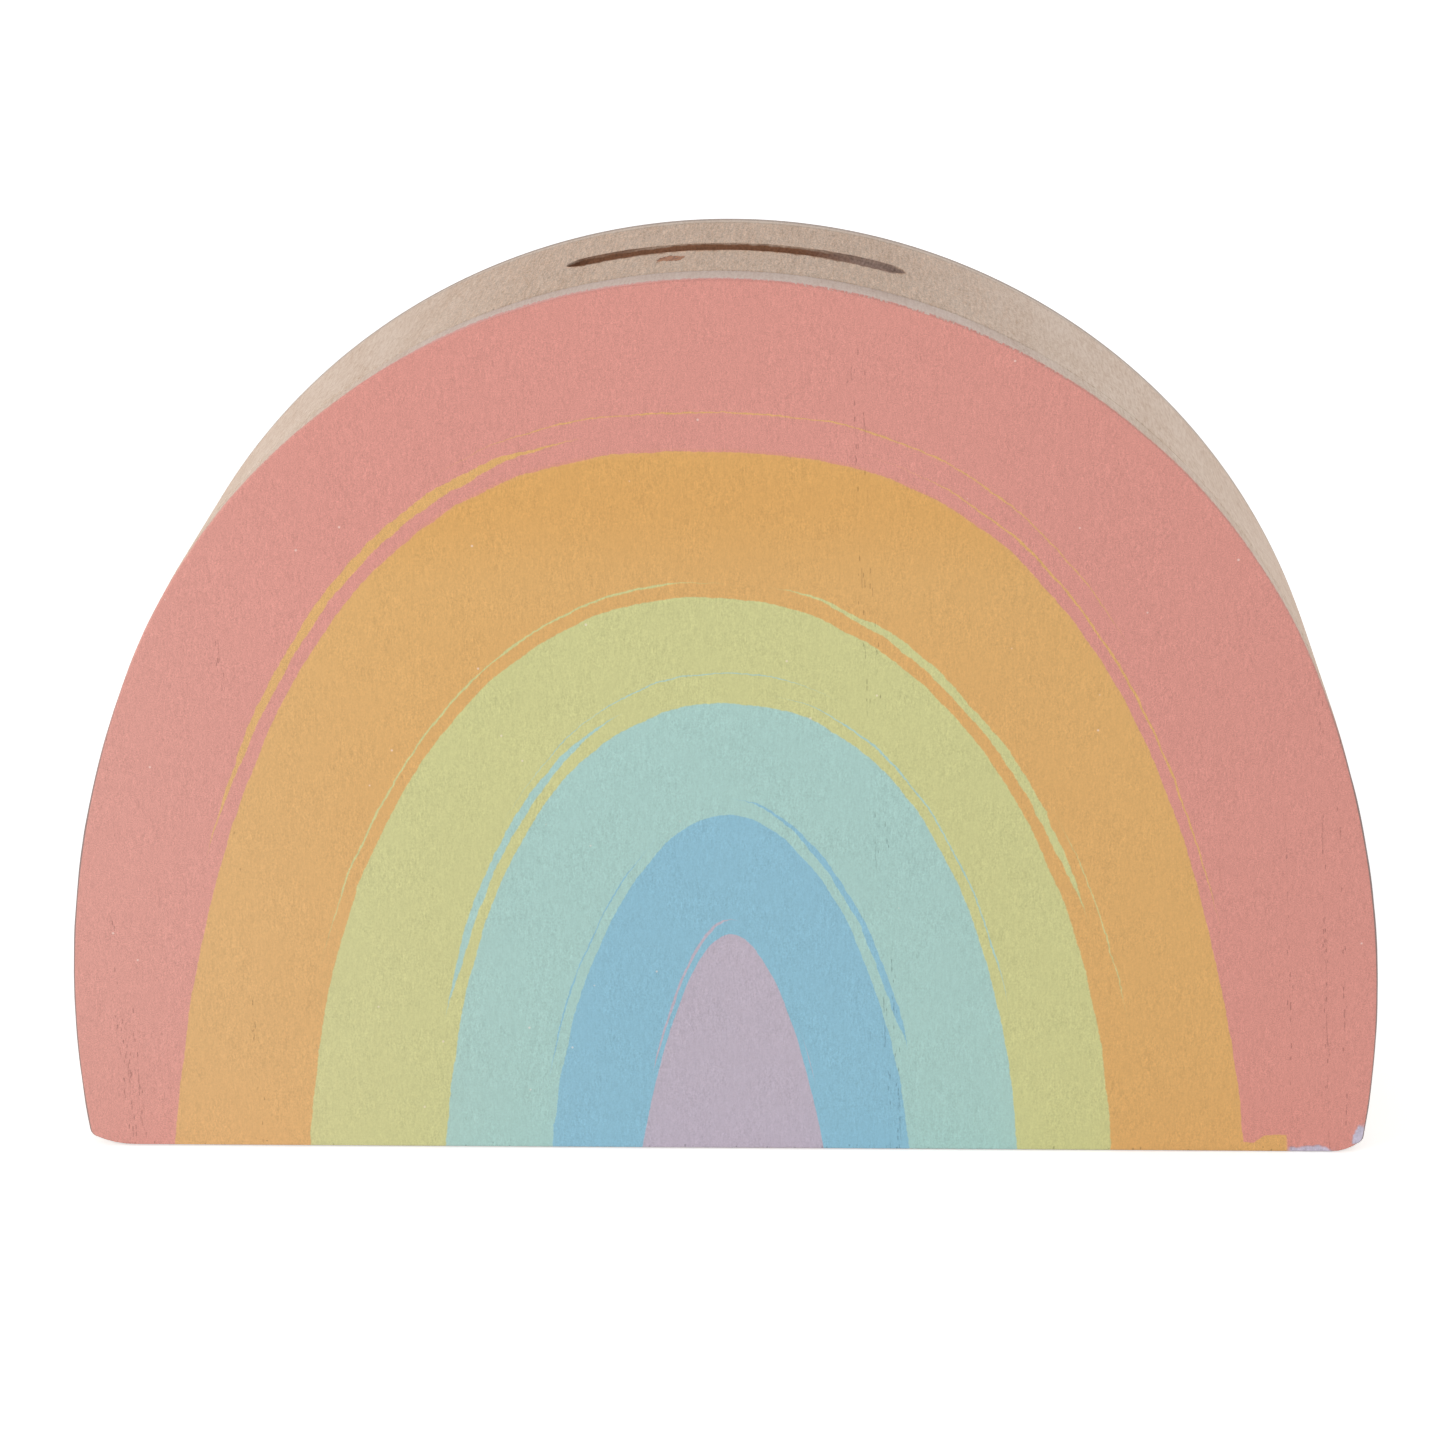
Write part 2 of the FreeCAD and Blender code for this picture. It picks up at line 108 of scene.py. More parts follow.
class MoneyBoxSizes(PropertyGroup):
    """The sizes of the wooden pieces."""

    width: length("Width", "Widest part of the arch", round(FRONT_HIGH.x - FRONT_LOW.x, 4))
    height: length("Height", "Ground to crown", round(FRONT_HIGH.z, 4))
    widest_height: length("Widest height", "Ground to the widest part", 17 * MM)
    haunch_angle: angle("Haunch angle", "Where the side arcs meet the crown arc, above the horizontal", 22)
    corner_radius: length("Corner radius", "Rounding at the foot of the two sides", 1.2 * MM)
    left_toe_radius: length("Left toe radius", "Flat rounding under the left corner", 11 * MM)
    left_toe_turn: angle("Left toe turn", "How steep the left toe rises", 25)
    right_toe_radius: length("Right toe radius", "Flat rounding under the right corner", 5.5 * MM)
    right_toe_turn: angle("Right toe turn", "How steep the right toe rises", 38)
    rim_wall: length("Rim wall", "Wall of the wooden arch", 12 * MM)
    front_easing: length("Front easing", "Sanded edge round the front face", 0.35 * MM)
    rear_easing: length("Rear easing", "Sanded edge round the rear face", 0.7 * MM)
    joint_easing: length("Joint easing", "Sanded edges along the two joints of the rim", 0.05 * MM)
    glue_gap: length("Glue gap", "Glue line round the base plank", 0.1 * MM)
    slot_length: length("Slot length", "Coin slot, end to end", 38.5 * MM)
    slot_width: length("Slot width", "Coin slot, front to rear", 4.4 * MM)
    slot_offset: length("Slot offset", "Coin slot, to the right of the middle", 1.5 * MM)
    slot_setback: length("Slot setback", "Coin slot, to the rear of the middle", 0.8 * MM)
    hole_radius: length("Hole radius", "Hole in the rear board", 17.5 * MM)
    pin_radius: length("Pin radius", "Shank of a panel pin", 0.6 * MM)
    pin_head_radius: length("Pin head radius", "Head of a panel pin", 1.1 * MM)
    pin_head_depth: length("Pin head depth", "Thickness of a pin's head", 0.7 * MM)
    pin_point: length("Pin point", "Point of a panel pin", 2 * MM)
    dish_rim: length("Dish rim", "Flat ring round the dish in the stopper's face", 4 * MM)
    dish_depth: length("Dish depth", "Dish in the stopper's face", 0.9 * MM)
    cap_thickness: length("Cap thickness", "Floor of that dish", 1.6 * MM)
    grip_width: length("Grip width", "Bar across the dish that fingertips pinch", 5 * MM)
    barrel_radius: length("Barrel radius", "Stopper barrel", 17 * MM)
    barrel_wall: length("Barrel wall", "Wall of the stopper's barrel", 2 * MM)
    bead_height: length("Bead height", "Holding bead round the barrel's end", 0.35 * MM)
    bead_length: length("Bead length", "Holding bead, along the barrel", 2.4 * MM)


class MoneyBoxColours(PropertyGroup):
    """The colours of the paint, the wood, the steel and the rubber."""

    coral: tint("Coral", "Outermost band of paint", 213, 145, 134)
    orange: tint("Orange", "Second band of paint", 216, 169, 105)
    green: tint("Green", "Third band of paint", 202, 201, 142)
    aqua: tint("Aqua", "Fourth band of paint", 167, 202, 196)
    blue: tint("Blue", "Fifth band of paint", 140, 187, 207)
    lilac: tint("Lilac", "Innermost field of paint", 188, 176, 190)
    primer: tint("Primer", "Ground coat where the paint has chipped off", 194, 188, 206)
    # Painted shade and grime together: the grey that darkens the front board's sides and the rear board's
    # sanded edge.
    edge_shade_and_grime: tint("Grime", "Handled edges", 128, 112, 108)
    wood_pale: tint("Pale wood", "Soft wood between the rings", 224, 205, 189)
    wood_deep: tint("Deep wood", "Rings and pores", 176, 139, 109)
    knot: tint("Knot", "Small knot beside the coin slot", 158, 102, 66)
    burnt: tint("Burnt wood", "Walls of the coin slot", 134, 92, 67)
    steel: tint("Steel", "Heads of the panel pins", 170, 168, 165)
    rubber: tint("Rubber", "Stopper", 44, 44, 46)


class Arch:
    """The arcs of the box's outline, worked out from its sizes."""

    def __init__(self, sizes):
        turn = sizes.haunch_angle
        self.half_width = sizes.width / 2
        self.widest = sizes.widest_height
        self.haunch = turn
        rise = sizes.height - self.widest
        radius_step = (rise - self.half_width) / (math.cos(turn) + math.sin(turn) - 1)
        self.side_shift = radius_step * math.cos(turn)
        self.side_radius = self.half_width + self.side_shift
        self.crown_radius = self.side_radius - radius_step
        self.crown_middle = sizes.height - self.crown_radius
        self.left = Foot(self, sizes.corner_radius, sizes.left_toe_radius, sizes.left_toe_turn)
        self.right = Foot(self, sizes.corner_radius, sizes.right_toe_radius, sizes.right_toe_turn)


class Foot:
    """A bottom corner of the outline: a small arc below the side, then a flat one down to the ground."""

    def __init__(self, arch, corner, toe, toe_turn):
        self.corner = corner
        self.toe = toe
        self.toe_turn = toe_turn
        self.corner_height = toe - (toe - corner) * math.cos(toe_turn)
        reach = arch.side_radius - corner
        self.side_turn = math.asin((arch.widest - self.corner_height) / reach)
        self.corner_turn = math.pi / 2 - self.side_turn - toe_turn
        self.corner_x = reach * math.cos(self.side_turn) - arch.side_shift
        self.toe_x = self.corner_x - (toe - corner) * math.sin(toe_turn)


# Modelling tools.


def start_alone():
    """Leaves edit mode with nothing selected."""
    if bpy.context.mode != "OBJECT":
        bpy.ops.object.mode_set(mode="OBJECT")
    bpy.ops.object.select_all(action="DESELECT")


def take_up(piece):
    """Selects one piece alone, in object mode."""
    start_alone()
    piece.select_set(True)
    bpy.context.view_layer.objects.active = piece


def edit_new(name):
    """Names the primitive that was just added and opens it in edit mode, all selected."""
    piece = bpy.context.object
    piece.name = name
    piece.data.name = name
    bpy.ops.object.mode_set(mode="EDIT")
    bpy.ops.mesh.select_mode(type="VERT")
    bpy.ops.mesh.select_all(action="SELECT")
    return piece


def start_point(name, place):
    """A new mesh of one vertex, in edit mode."""
    start_alone()
    bpy.ops.mesh.primitive_plane_add(size=MM)
    piece = edit_new(name)
    bpy.ops.mesh.merge(type="CENTER")
    bpy.ops.transform.translate(value=place)
    return piece


def start_block(name, low, high):
    """A new block between two corners, in edit mode."""
    start_alone()
    bpy.ops.mesh.primitive_cube_add(size=1)
    piece = edit_new(name)
    bpy.ops.transform.resize(value=Vector(high) - Vector(low))
    bpy.ops.transform.translate(value=(Vector(high) + Vector(low)) / 2)
    return piece


def start_peg(name, radius, low_y, high_y, x, z, sides):
    """A new round peg that points to the rear, in edit mode."""
    start_alone()
    bpy.ops.mesh.primitive_cylinder_add(vertices=sides, radius=radius, depth=high_y - low_y)
    piece = edit_new(name)
    bpy.ops.transform.rotate(value=math.pi / 2, orient_axis="X", center_override=(0, 0, 0))
    bpy.ops.transform.translate(value=(x, (low_y + high_y) / 2, z))
    return piece


def pick(kind, test):
    """Selects only the vertices, edges or faces that pass the test, in edit mode."""
    bpy.ops.mesh.select_mode(type=kind)
    bpy.ops.mesh.select_all(action="DESELECT")
    mesh = bpy.context.edit_object.data
    shape = bmesh.from_edit_mesh(mesh)
    for item in {"VERT": shape.verts, "EDGE": shape.edges, "FACE": shape.faces}[kind]:
        if test(item):
            item.select_set(True)
    shape.select_flush_mode()
    bmesh.update_edit_mesh(mesh)


def pick_edges(test):
    """Selects the edges whose two ends both pass the test."""
    pick("EDGE", lambda edge: all(test(corner.co) for corner in edge.verts))


def close_up():
    """Merges double points and turns all faces outwards, in edit mode."""
    bpy.ops.mesh.select_mode(type="VERT")
    bpy.ops.mesh.select_all(action="SELECT")
    bpy.ops.mesh.remove_doubles(threshold=SAME / 4)
    bpy.ops.mesh.normals_make_consistent(inside=False)


def swing(angle, x, y, z, radius):
    """Spins what is selected round an axis that points to the rear, up on the right."""
    steps = max(math.ceil(abs(angle) / OUTLINE_TURN), round(abs(angle) * radius / OUTLINE_STEP))
    bpy.ops.mesh.spin(steps=steps, angle=angle, center=(x, y, z), axis=(0, 1, 0))


def draw_on(x, y, z):
    """Extrudes what is selected by a step."""
    bpy.ops.mesh.extrude_region_move(TRANSFORM_OT_translate={"value": (x, y, z)})


def inset_face(y, margin):
    """Insets the upright face at one depth, and keeps it flat."""
    pick("FACE", lambda face: all(abs(corner.co.y - y) < SAME / 4 for corner in face.verts))
    bpy.ops.mesh.inset(thickness=margin)
    bpy.ops.transform.resize(value=(1, 0, 1), center_override=(0, y, 0))


def pick_ring(radius, y, z):
    """Selects the edges of a ring about an axis that points to the rear."""

    def on_ring(place):
        return abs(place.y - y) < SAME and abs(math.hypot(place.x, place.z - z) - radius) < SAME

    pick_edges(on_ring)


def ease(offset, segments):
    """Rounds the selected edges."""
    bpy.ops.mesh.bevel(offset_type="OFFSET", offset=offset, segments=segments, profile=0.5, affect="EDGES",
                       clamp_overlap=True)


def apply_modifier(piece, kind, **settings):
    """Adds a modifier to a piece and applies it."""
    take_up(piece)
    modifier = piece.modifiers.new(kind, kind)
    for name, value in settings.items():
        setattr(modifier, name, value)
    bpy.ops.object.modifier_apply(modifier=modifier.name)


def combine(piece, tool, operation):
    """Cuts a tool out of a piece or joins it on, and removes the tool."""
    apply_modifier(piece, "BOOLEAN", operation=operation, object=tool, solver="EXACT")
    bpy.data.objects.remove(tool)


def reopen(piece):
    """Opens a piece in edit mode."""
    take_up(piece)
    bpy.ops.object.mode_set(mode="EDIT")


def hand_over(piece, material, body, slot, *nodes):
    """Gives a closed piece its finish and its body, and hides the solids that it stands for."""
    take_up(piece)
    bpy.ops.object.shade_smooth_by_angle(angle=SMOOTH_ANGLE)
    shape = bmesh.new()
    shape.from_mesh(piece.data)
    faces = len(shape.faces)
    open_edges = sum(not edge.is_manifold for edge in shape.edges)
    shape.free()
    if open_edges or not faces:
        raise RuntimeError(f"{piece.name} has {faces} faces and {open_edges} open edges")
    piece.data.materials.clear()
    piece.data.materials.append(material)
    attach(piece, body)
    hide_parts(*nodes)


def trace_over(arch, y, wall):
    """From the widest place on the right over the crown to the left, inside the outline by a wall."""
    piece = start_point("outline", (arch.half_width - wall, y, arch.widest))
    swing(arch.haunch, -arch.side_shift, y, arch.widest, arch.side_radius - wall)
    swing(math.pi - 2 * arch.haunch, 0, y, arch.crown_middle, arch.crown_radius - wall)
    swing(arch.haunch, arch.side_shift, y, arch.widest, arch.side_radius - wall)
    return piece


def trace_outline(name, arch, y):
    """The whole outline at one depth, as a closed loop of edges in edit mode."""
    piece = trace_over(arch, y, 0)
    piece.name = name
    left = arch.left
    right = arch.right
    swing(left.side_turn, arch.side_shift, y, arch.widest, arch.side_radius)
    swing(left.corner_turn, -left.corner_x, y, left.corner_height, left.corner)
    swing(left.toe_turn, -left.toe_x, y, left.toe, left.toe)
    draw_on(left.toe_x + right.toe_x, 0, 0)
    swing(right.toe_turn, right.toe_x, y, right.toe, right.toe)
    swing(right.corner_turn, right.corner_x, y, right.corner_height, right.corner)
    swing(right.side_turn, -arch.side_shift, y, arch.widest, arch.side_radius)
    return piece


def fill_through(depth):
    """Closes and fills a loop of edges and pushes it through to the rear."""
    bpy.ops.mesh.select_all(action="SELECT")
    bpy.ops.mesh.remove_doubles(threshold=SAME)
    bpy.ops.mesh.edge_face_add()
    draw_on(0, depth, 0)
    close_up()


# A narrow flat margin inside a board's sanded edge, which keeps the shading of the face flat.
FACE_MARGIN = 0.3 * MM


def make_board(name, arch, face, back, easing, joint_easing):
    """A board of the box's outline, with sanded edges round its face and its back."""
    piece = trace_outline(name, arch, face)
    fill_through(back - face)
    pick_edges(lambda place: abs(place.y - back) < SAME)
    ease(joint_easing, 1)
    pick_edges(lambda place: abs(place.y - face) < SAME)
    ease(easing, 6)
    inset_face(face, FACE_MARGIN)
    return piece


def roughen(piece, name, test, depth, grain):
    """Wears the points that pass the test inwards, unevenly, by up to depth."""
    start_alone()
    worn = piece.vertex_groups.new(name=name)
    worn.add([point.index for point in piece.data.vertices if test(point.co)], 1, "REPLACE")
    pattern = bpy.data.textures.new(name, "CLOUDS")
    pattern.noise_scale = grain
    apply_modifier(piece, "DISPLACE", texture=pattern, vertex_group=worn.name, mid_level=0,
                   strength=-depth, texture_coords="LOCAL")
    piece.vertex_groups.clear()


# Shader tools.


class Value:
    """A socket of a finish: sums on it add Math nodes."""

    def __init__(self, finish, socket):
        self.finish = finish
        self.socket = socket

    def math(self, operation, *values):
        return self.finish.node("ShaderNodeMath", {"operation": operation}, dict(enumerate(values)))

    def __add__(self, other):
        return self.math("ADD", self, other)

    def __sub__(self, other):
        return self.math("SUBTRACT", self, other)

    def __rsub__(self, other):
        return self.math("SUBTRACT", other, self)

    def __mul__(self, other):
        return self.math("MULTIPLY", self, other)

    def __truediv__(self, other):
        return self.math("DIVIDE", self, other)

    def __pow__(self, other):
        return self.math("POWER", self, other)

    def __abs__(self):
        return self.math("ABSOLUTE", self)

    __radd__ = __add__
    __rmul__ = __mul__

    def also(self, output):
        """Another output of the same node."""
        return Value(self.finish, self.socket.node.outputs[output])

    def at_least(self, other):
        return self.math("MAXIMUM", self, other)


class Finish:
    """A material and the nodes that make it. Places are in millimetres."""

    def __init__(self, name):
        self.material = bpy.data.materials.new(name)
        self.material.use_nodes = True
        self.tree = self.material.node_tree
        self.shader = self.tree.nodes["Principled BSDF"]
        place = self.node("ShaderNodeTexCoord", output="Object")
        self.place = self.node("ShaderNodeVectorMath", {"operation": "SCALE"}, {0: place, "Scale": 1 / MM})
        self.x = self.node("ShaderNodeSeparateXYZ", sockets={0: self.place})
        self.y = self.x.also("Y")
        self.z = self.x.also("Z")

    def node(self, kind, settings=None, sockets=None, output=0):
        """Adds a node with its settings and the values or links of its sockets."""
        node = self.tree.nodes.new(kind)
        for name, value in (settings or {}).items():
            setattr(node, name, value)
        for name, value in (sockets or {}).items():
            self.feed(node.inputs[name], value)
        return Value(self, node.outputs[output])

    def feed(self, socket, value):
        """Links a value to a socket, or sets the socket to a plain number or colour."""
        if isinstance(value, Value):
            self.tree.links.new(value.socket, socket)
        elif socket.type == "RGBA":
            socket.default_value = (*value, 1)
        else:
            socket.default_value = value

    def stretch(self, *counts):
        """The place, counted in so many steps to the millimetre along each axis."""
        return self.node("ShaderNodeVectorMath", {"operation": "MULTIPLY"}, {0: self.place, 1: counts})

    def noise(self, *counts, detail=2, roughness=0.5, wiggle=0):
        """Soft noise about 0, from -0.5 to 0.5, of so many lumps to the millimetre along each axis."""
        sockets = {"Vector": self.stretch(*counts), "Scale": 1, "Detail": detail, "Roughness": roughness,
                   "Distortion": wiggle}
        return self.node("ShaderNodeTexNoise", sockets=sockets) - 0.5

    def dots(self, counts, size, share):
        """Marks of one size in cells, of which only a share is filled."""
        cells = {"Vector": self.stretch(*counts), "Scale": 1}
        near = self.node("ShaderNodeTexVoronoi", sockets=cells)
        chance = self.node("ShaderNodeSeparateColor", sockets={0: near.also("Color")})
        return (1 - self.step(near, size * 0.55, size)) * self.step(share - chance, 0, 0.02)

    def step(self, value, low, high):
        """Goes smoothly from 0 at low to 1 at high."""
        sockets = {"Value": value, "From Min": low, "From Max": high}
        return self.node("ShaderNodeMapRange", {"interpolation_type": "SMOOTHSTEP"}, sockets)

    def blend(self, share, first, second):
        """The first colour, with a share of the second mixed in."""
        return self.node("ShaderNodeMix", {"data_type": "RGBA"}, {0: share, 6: first, 7: second}, output=2)

    def shade(self, colour, level):
        """A colour made lighter or darker by a level."""
        return self.node("ShaderNodeVectorMath", {"operation": "SCALE"}, {0: colour, "Scale": level})

    def finish(self, colour, roughness, relief=None, specular=0.35):
        """Feeds the shader. The relief is a height in millimetres."""
        self.feed(self.shader.inputs["Base Color"], colour)
        self.feed(self.shader.inputs["Roughness"], roughness)
        self.shader.inputs["Specular IOR Level"].default_value = specular
        if relief is not None:
            bump = self.node("ShaderNodeBump", sockets={"Height": relief, "Distance": MM, "Strength": 1})
            self.feed(self.shader.inputs["Normal"], bump)
        return self.material


# Paint on the front board.

# A band's outer edge is a rounded arch whose widest line lies below the ground. Lengths in millimetres:
# middle, half width at the widest line, crown above the ground, depth of the widest line and a fullness
# that is 2 on an ellipse and more on a squarer arch.
Band = namedtuple("Band", "colour middle half_width crown sink fullness")
BANDS = (
    Band("orange", -1.9, 64.2, 82.9, 48.8, 2.53),
    Band("green", -1.6, 46.6, 66.3, 6.6, 2.05),
    Band("aqua", 0.9, 33.5, 53.8, 11.8, 2.18),
    Band("blue", 0.8, 20.9, 40.8, 5.4, 1.82),
    Band("lilac", 1.1, 15.5, 26.5, 60, 1.85),
)

# Thin strokes of a dry brush beside a band: from one angle to another, in degrees up from the right, how
# far outside the band's edge and how wide, in millimetres.
Stroke = namedtuple("Stroke", "colour start end gap width")
STROKES = (
    Stroke("orange", 96, 152, 2.4, 1.6),
    Stroke("orange", 20, 84, 1.7, 0.5),
    Stroke("orange", 44, 120, 4.4, 0.35),
    Stroke("green", 30, 88, 2.0, 1.4),
    Stroke("green", 82, 160, 1.6, 0.45),
    Stroke("green", 12, 56, 3.6, 0.35),
    Stroke("aqua", 100, 158, 2.0, 1.4),
    Stroke("aqua", 24, 92, 1.5, 0.45),
    Stroke("aqua", 70, 132, 3.6, 0.3),
    Stroke("blue", 28, 94, 1.9, 1.2),
    Stroke("blue", 96, 166, 1.5, 0.4),
    Stroke("lilac", 84, 140, 1.7, 0.9),
    Stroke("lilac", 34, 70, 1.9, 0.4),
)

# Lines of open pores in the front board, in millimetres to the right of the middle at the ground, and how
# far they lean to the left as they rise.
PORE_LINES = (-69.2, -68.5, -67.4, -53.4, 19.4, 20.6, 65.8, 70.0, 72.0)
PORE_LEAN = 0.05

# Pale colours: a painted sheen over the paint towards the lower left, and small specks in the paint.
SHEEN_WHITE = screen(240, 222, 212)
SPECK = screen(244, 226, 216)

# Heights in millimetres between which the worn crown of the front board begins.
CROWN_START = 88
CROWN_FULL = 99

# A deeper orange towards the crown, and the heights in millimetres between which it begins.
DEEP_ORANGE = screen(212, 148, 60)
DEEP_ORANGE_HEIGHT = (66, 78)

# A run of orange paint along the foot: its two ends and its lump, across, and their heights. Each pair is
# where an edge begins and where it ends, here and below, in millimetres.
RUN_LEFT = (57, 58)
RUN_RIGHT = (64.9, 65.2)
RUN_HEIGHT = 1.3
LUMP_LEFT = (61, 62.8)
LUMP_HEIGHT = 0.85

# Chips in the paint of the lower right corner and of the foot beside it.
CORNER_CHIP_LEFT = (72.0, 72.3)
CORNER_CHIP_LEAN = 0.27
CORNER_CHIP_BOTTOM = (0.9, 1.3)
CORNER_CHIP_TOP = (3.0, 3.6)
FOOT_CHIP_LEFT = (65.0, 65.6)
FOOT_CHIP_RIGHT = (70.2, 70.8)
FOOT_CHIP_TOP = (0.55, 0.85)

# Heights between which the grey of the two sides, partly grime and partly painted shade, begins, and those
# between which it ends.
SHADED_EDGE_BOTTOM = (0.5, 2)
SHADED_EDGE_TOP = (40, 62)


def beyond_band(paint, band):
    """How far a place lies outside a band's outer edge, in millimetres."""
    across = abs(paint.x - band.middle)
    up = paint.z + band.sink
    sum_of_powers = (across / band.half_width) ** band.fullness
    sum_of_powers = sum_of_powers + (up / (band.crown + band.sink)) ** band.fullness
    reach = (across * across + up * up) ** 0.5
    return reach * (1 - sum_of_powers ** (-1 / band.fullness))


def brush_stroke(paint, stroke, beyond, angle, ragged):
    """Where a dry brush stroke lies: tapered at both ends and broken by its bristles."""
    taper = paint.step(angle, stroke.start, stroke.start + 16)
    taper = taper * (1 - paint.step(angle, stroke.end - 22, stroke.end))
    half_width = taper * ragged * (stroke.width / 2)
    return paint.step(half_width - abs(beyond - stroke.gap), 0.02, 0.16)


def paint_bands(paint, colours):
    """The coral ground with the other bands and their brush strokes over it."""
    wander = paint.noise(0.2, 0.2, 0.2) * 0.8 + paint.noise(1.7, 1.7, 1.7) * 0.3
    ragged = paint.noise(0.5, 0.5, 0.5, detail=3) * 0.9 + 0.9
    colour = colours.coral
    for band in BANDS:
        beyond = beyond_band(paint, band) + wander
        cover = 1 - paint.step(beyond, -0.07, 0.07)
        angle = paint.z.math("ARCTAN2", paint.z, paint.x - band.middle) * math.degrees(1)
        for stroke in STROKES:
            if stroke.colour == band.colour:
                cover = cover.at_least(brush_stroke(paint, stroke, beyond, angle, ragged))
        colour = paint.blend(cover, colour, getattr(colours, band.colour))
    run_top = RUN_HEIGHT + paint.step(paint.x, *LUMP_LEFT) * LUMP_HEIGHT
    run = paint.step(run_top - paint.z + wander, 0, 0.15)
    run = run * paint.step(paint.x, *RUN_LEFT) * (1 - paint.step(paint.x + wander, *RUN_RIGHT))
    return paint.blend(run, colour, colours.orange)


def open_pores(paint):
    """Upright ticks and hair cracks in the paint over the wood's open pores, along the pore lines."""
    bend = paint.noise(0.4, 0.4, 0.4) * 0.5 + paint.z * PORE_LEAN
    lines = 0
    cracks = 0
    for line in PORE_LINES:
        away = abs(paint.x - line + bend)
        lines = (1 - paint.step(away, 0.12, 0.5)) + lines
        cracks = (1 - paint.step(away, 0.02, 0.09)) + cracks
    clusters = paint.step(paint.noise(0.07, 0.07, 0.06, detail=1), -0.1, 0.1)
    broken = paint.step(paint.noise(0.7, 0.7, 0.4, detail=2), 0.05, 0.12)
    ticks = paint.dots((5.2, 0.3, 1.0), 0.36, lines * clusters * 0.34 + 0.004)
    return ticks.at_least(cracks * clusters * broken * 0.6)


def paint_texture(paint):
    """The stippled, brushed surface of the paint, from about -0.5 to 0.5."""
    lumps = paint.noise(4.2, 4.2, 4.2, detail=2, roughness=0.6)
    dashes = paint.noise(3.6, 3.6, 1.1, detail=2, wiggle=1.2)
    calm = paint.step(paint.noise(0.22, 0.22, 0.22), -0.2, 0.15) * 0.5 + 0.5
    rows = paint.step(paint.noise(0.02, 0.02, 0.6, detail=1), 0.02, 0.16)
    slubs = paint.dots((0.8, 0.3, 4.6), 0.25, rows * 0.25 + 0.02)
    return (lumps + dashes) * calm + slubs * 0.18


def chip_corner(paint, fray):
    """Where the paint has chipped off the foot and the lower right corner."""
    corner = paint.step(paint.x - paint.z * CORNER_CHIP_LEAN + fray * 1.3, *CORNER_CHIP_LEFT)
    corner = corner * paint.step(paint.z + fray, *CORNER_CHIP_BOTTOM)
    corner = corner * (1 - paint.step(paint.z + fray * 1.5, *CORNER_CHIP_TOP))
    across = paint.x + fray * 2
    foot = paint.step(across, *FOOT_CHIP_LEFT) * (1 - paint.step(across, *FOOT_CHIP_RIGHT))
    return corner.at_least(foot * (1 - paint.step(paint.z + fray * 1.2, *FOOT_CHIP_TOP)))


def make_front_paint(colours):
    """Matt paint on close-grained wood, chipped at one corner, rubbed off the board's edge."""
    paint = Finish("painted_front")
    colour = paint_bands(paint, colours)
    texture = paint_texture(paint)
    ticks = open_pores(paint)
    coral = paint.step(beyond_band(paint, BANDS[0]), -0.5, 0.5)
    grit = paint.noise(8, 8, 8, detail=1) * coral
    level = texture * 0.45 + grit * 0.6 + paint.noise(0.04, 0.04, 0.04) * 0.06
    # Painted sheen: a pale veil blended over the paint, strongest towards the lower left.
    painted_sheen = 1 - paint.step(paint.x + paint.z * 0.4, -62, 0)
    colour = paint.blend(painted_sheen * 0.08, colour, SHEEN_WHITE)
    # The orange turns deeper towards the crown.
    deeper_orange = paint.step(paint.z, *DEEP_ORANGE_HEIGHT) * (1 - coral)
    colour = paint.blend(deeper_orange * 0.27, colour, DEEP_ORANGE)
    colour = paint.shade(colour, level + 1 - ticks * 0.19)
    specks = paint.dots((0.4, 0.4, 0.4), 0.07, 0.16)
    nicks = paint.dots((2.2, 0.3, 1.2), 0.3, 0.3 - paint.step(paint.z, 0.3, 0.9) * 0.3)
    colour = paint.blend(specks * 0.5, colour, SPECK)
    colour = paint.shade(colour, 1 - nicks * 0.35)

    depth = paint.y - FRONT_FACE / MM
    fray = paint.noise(0.7, 0.7, 0.7, detail=4)
    chipped = chip_corner(paint, fray)
    colour = paint.blend(chipped, colour, paint.shade(colours.primer, fray * 0.5 + texture * 0.6 + 1))

    crown = paint.step(paint.z, CROWN_START, CROWN_FULL)
    wood, wood_relief = wood_grain(paint, colours)
    wood = paint.blend(crown * 0.24, wood, colours.wood_deep)
    wood = paint.blend(crown * 0.18, wood, colours.primer)
    wood = paint.shade(wood, 1 + crown * (0.13 - paint.step(depth, 0.5, 4) * 0.08))
    wood = paint.shade(wood, 1 - joint_line(paint, FRONT_JOINT / MM, fray) * crown * 0.12)
    feather = fray * 0.6 + paint.noise(3.6, 0.6, 3.6, detail=3) * 2.6
    wrapped = (0.55 - paint.x * 0.03).at_least(0) * crown
    bare = paint.step(depth + feather * (crown * 0.8 + 0.2) - wrapped, 0.05, 0.5)
    bare = bare * paint.step(depth, 0.01, 0.08)
    colour = paint.blend(bare, colour, wood)
    # Partly grime, partly painted shade: the front board's sanded sides grey towards the silhouette, where
    # they turn away from the light.
    shaded_edge_band = paint.step(depth, 0, 0.03) * (1 - paint.step(depth + fray * 0.5, 0.4, 1))
    sides = paint.step(paint.z, *SHADED_EDGE_BOTTOM) * (1 - paint.step(paint.z, *SHADED_EDGE_TOP))
    colour = paint.blend(shaded_edge_band * sides * 0.9, colour, colours.edge_shade_and_grime)

    relief = texture * 0.035 - ticks * 0.08 - bare * 0.04 - chipped * 0.06 + wood_relief * bare
    return paint.finish(colour, 0.55 + texture * 0.1 + bare * 0.15, relief)


# Bare wood.

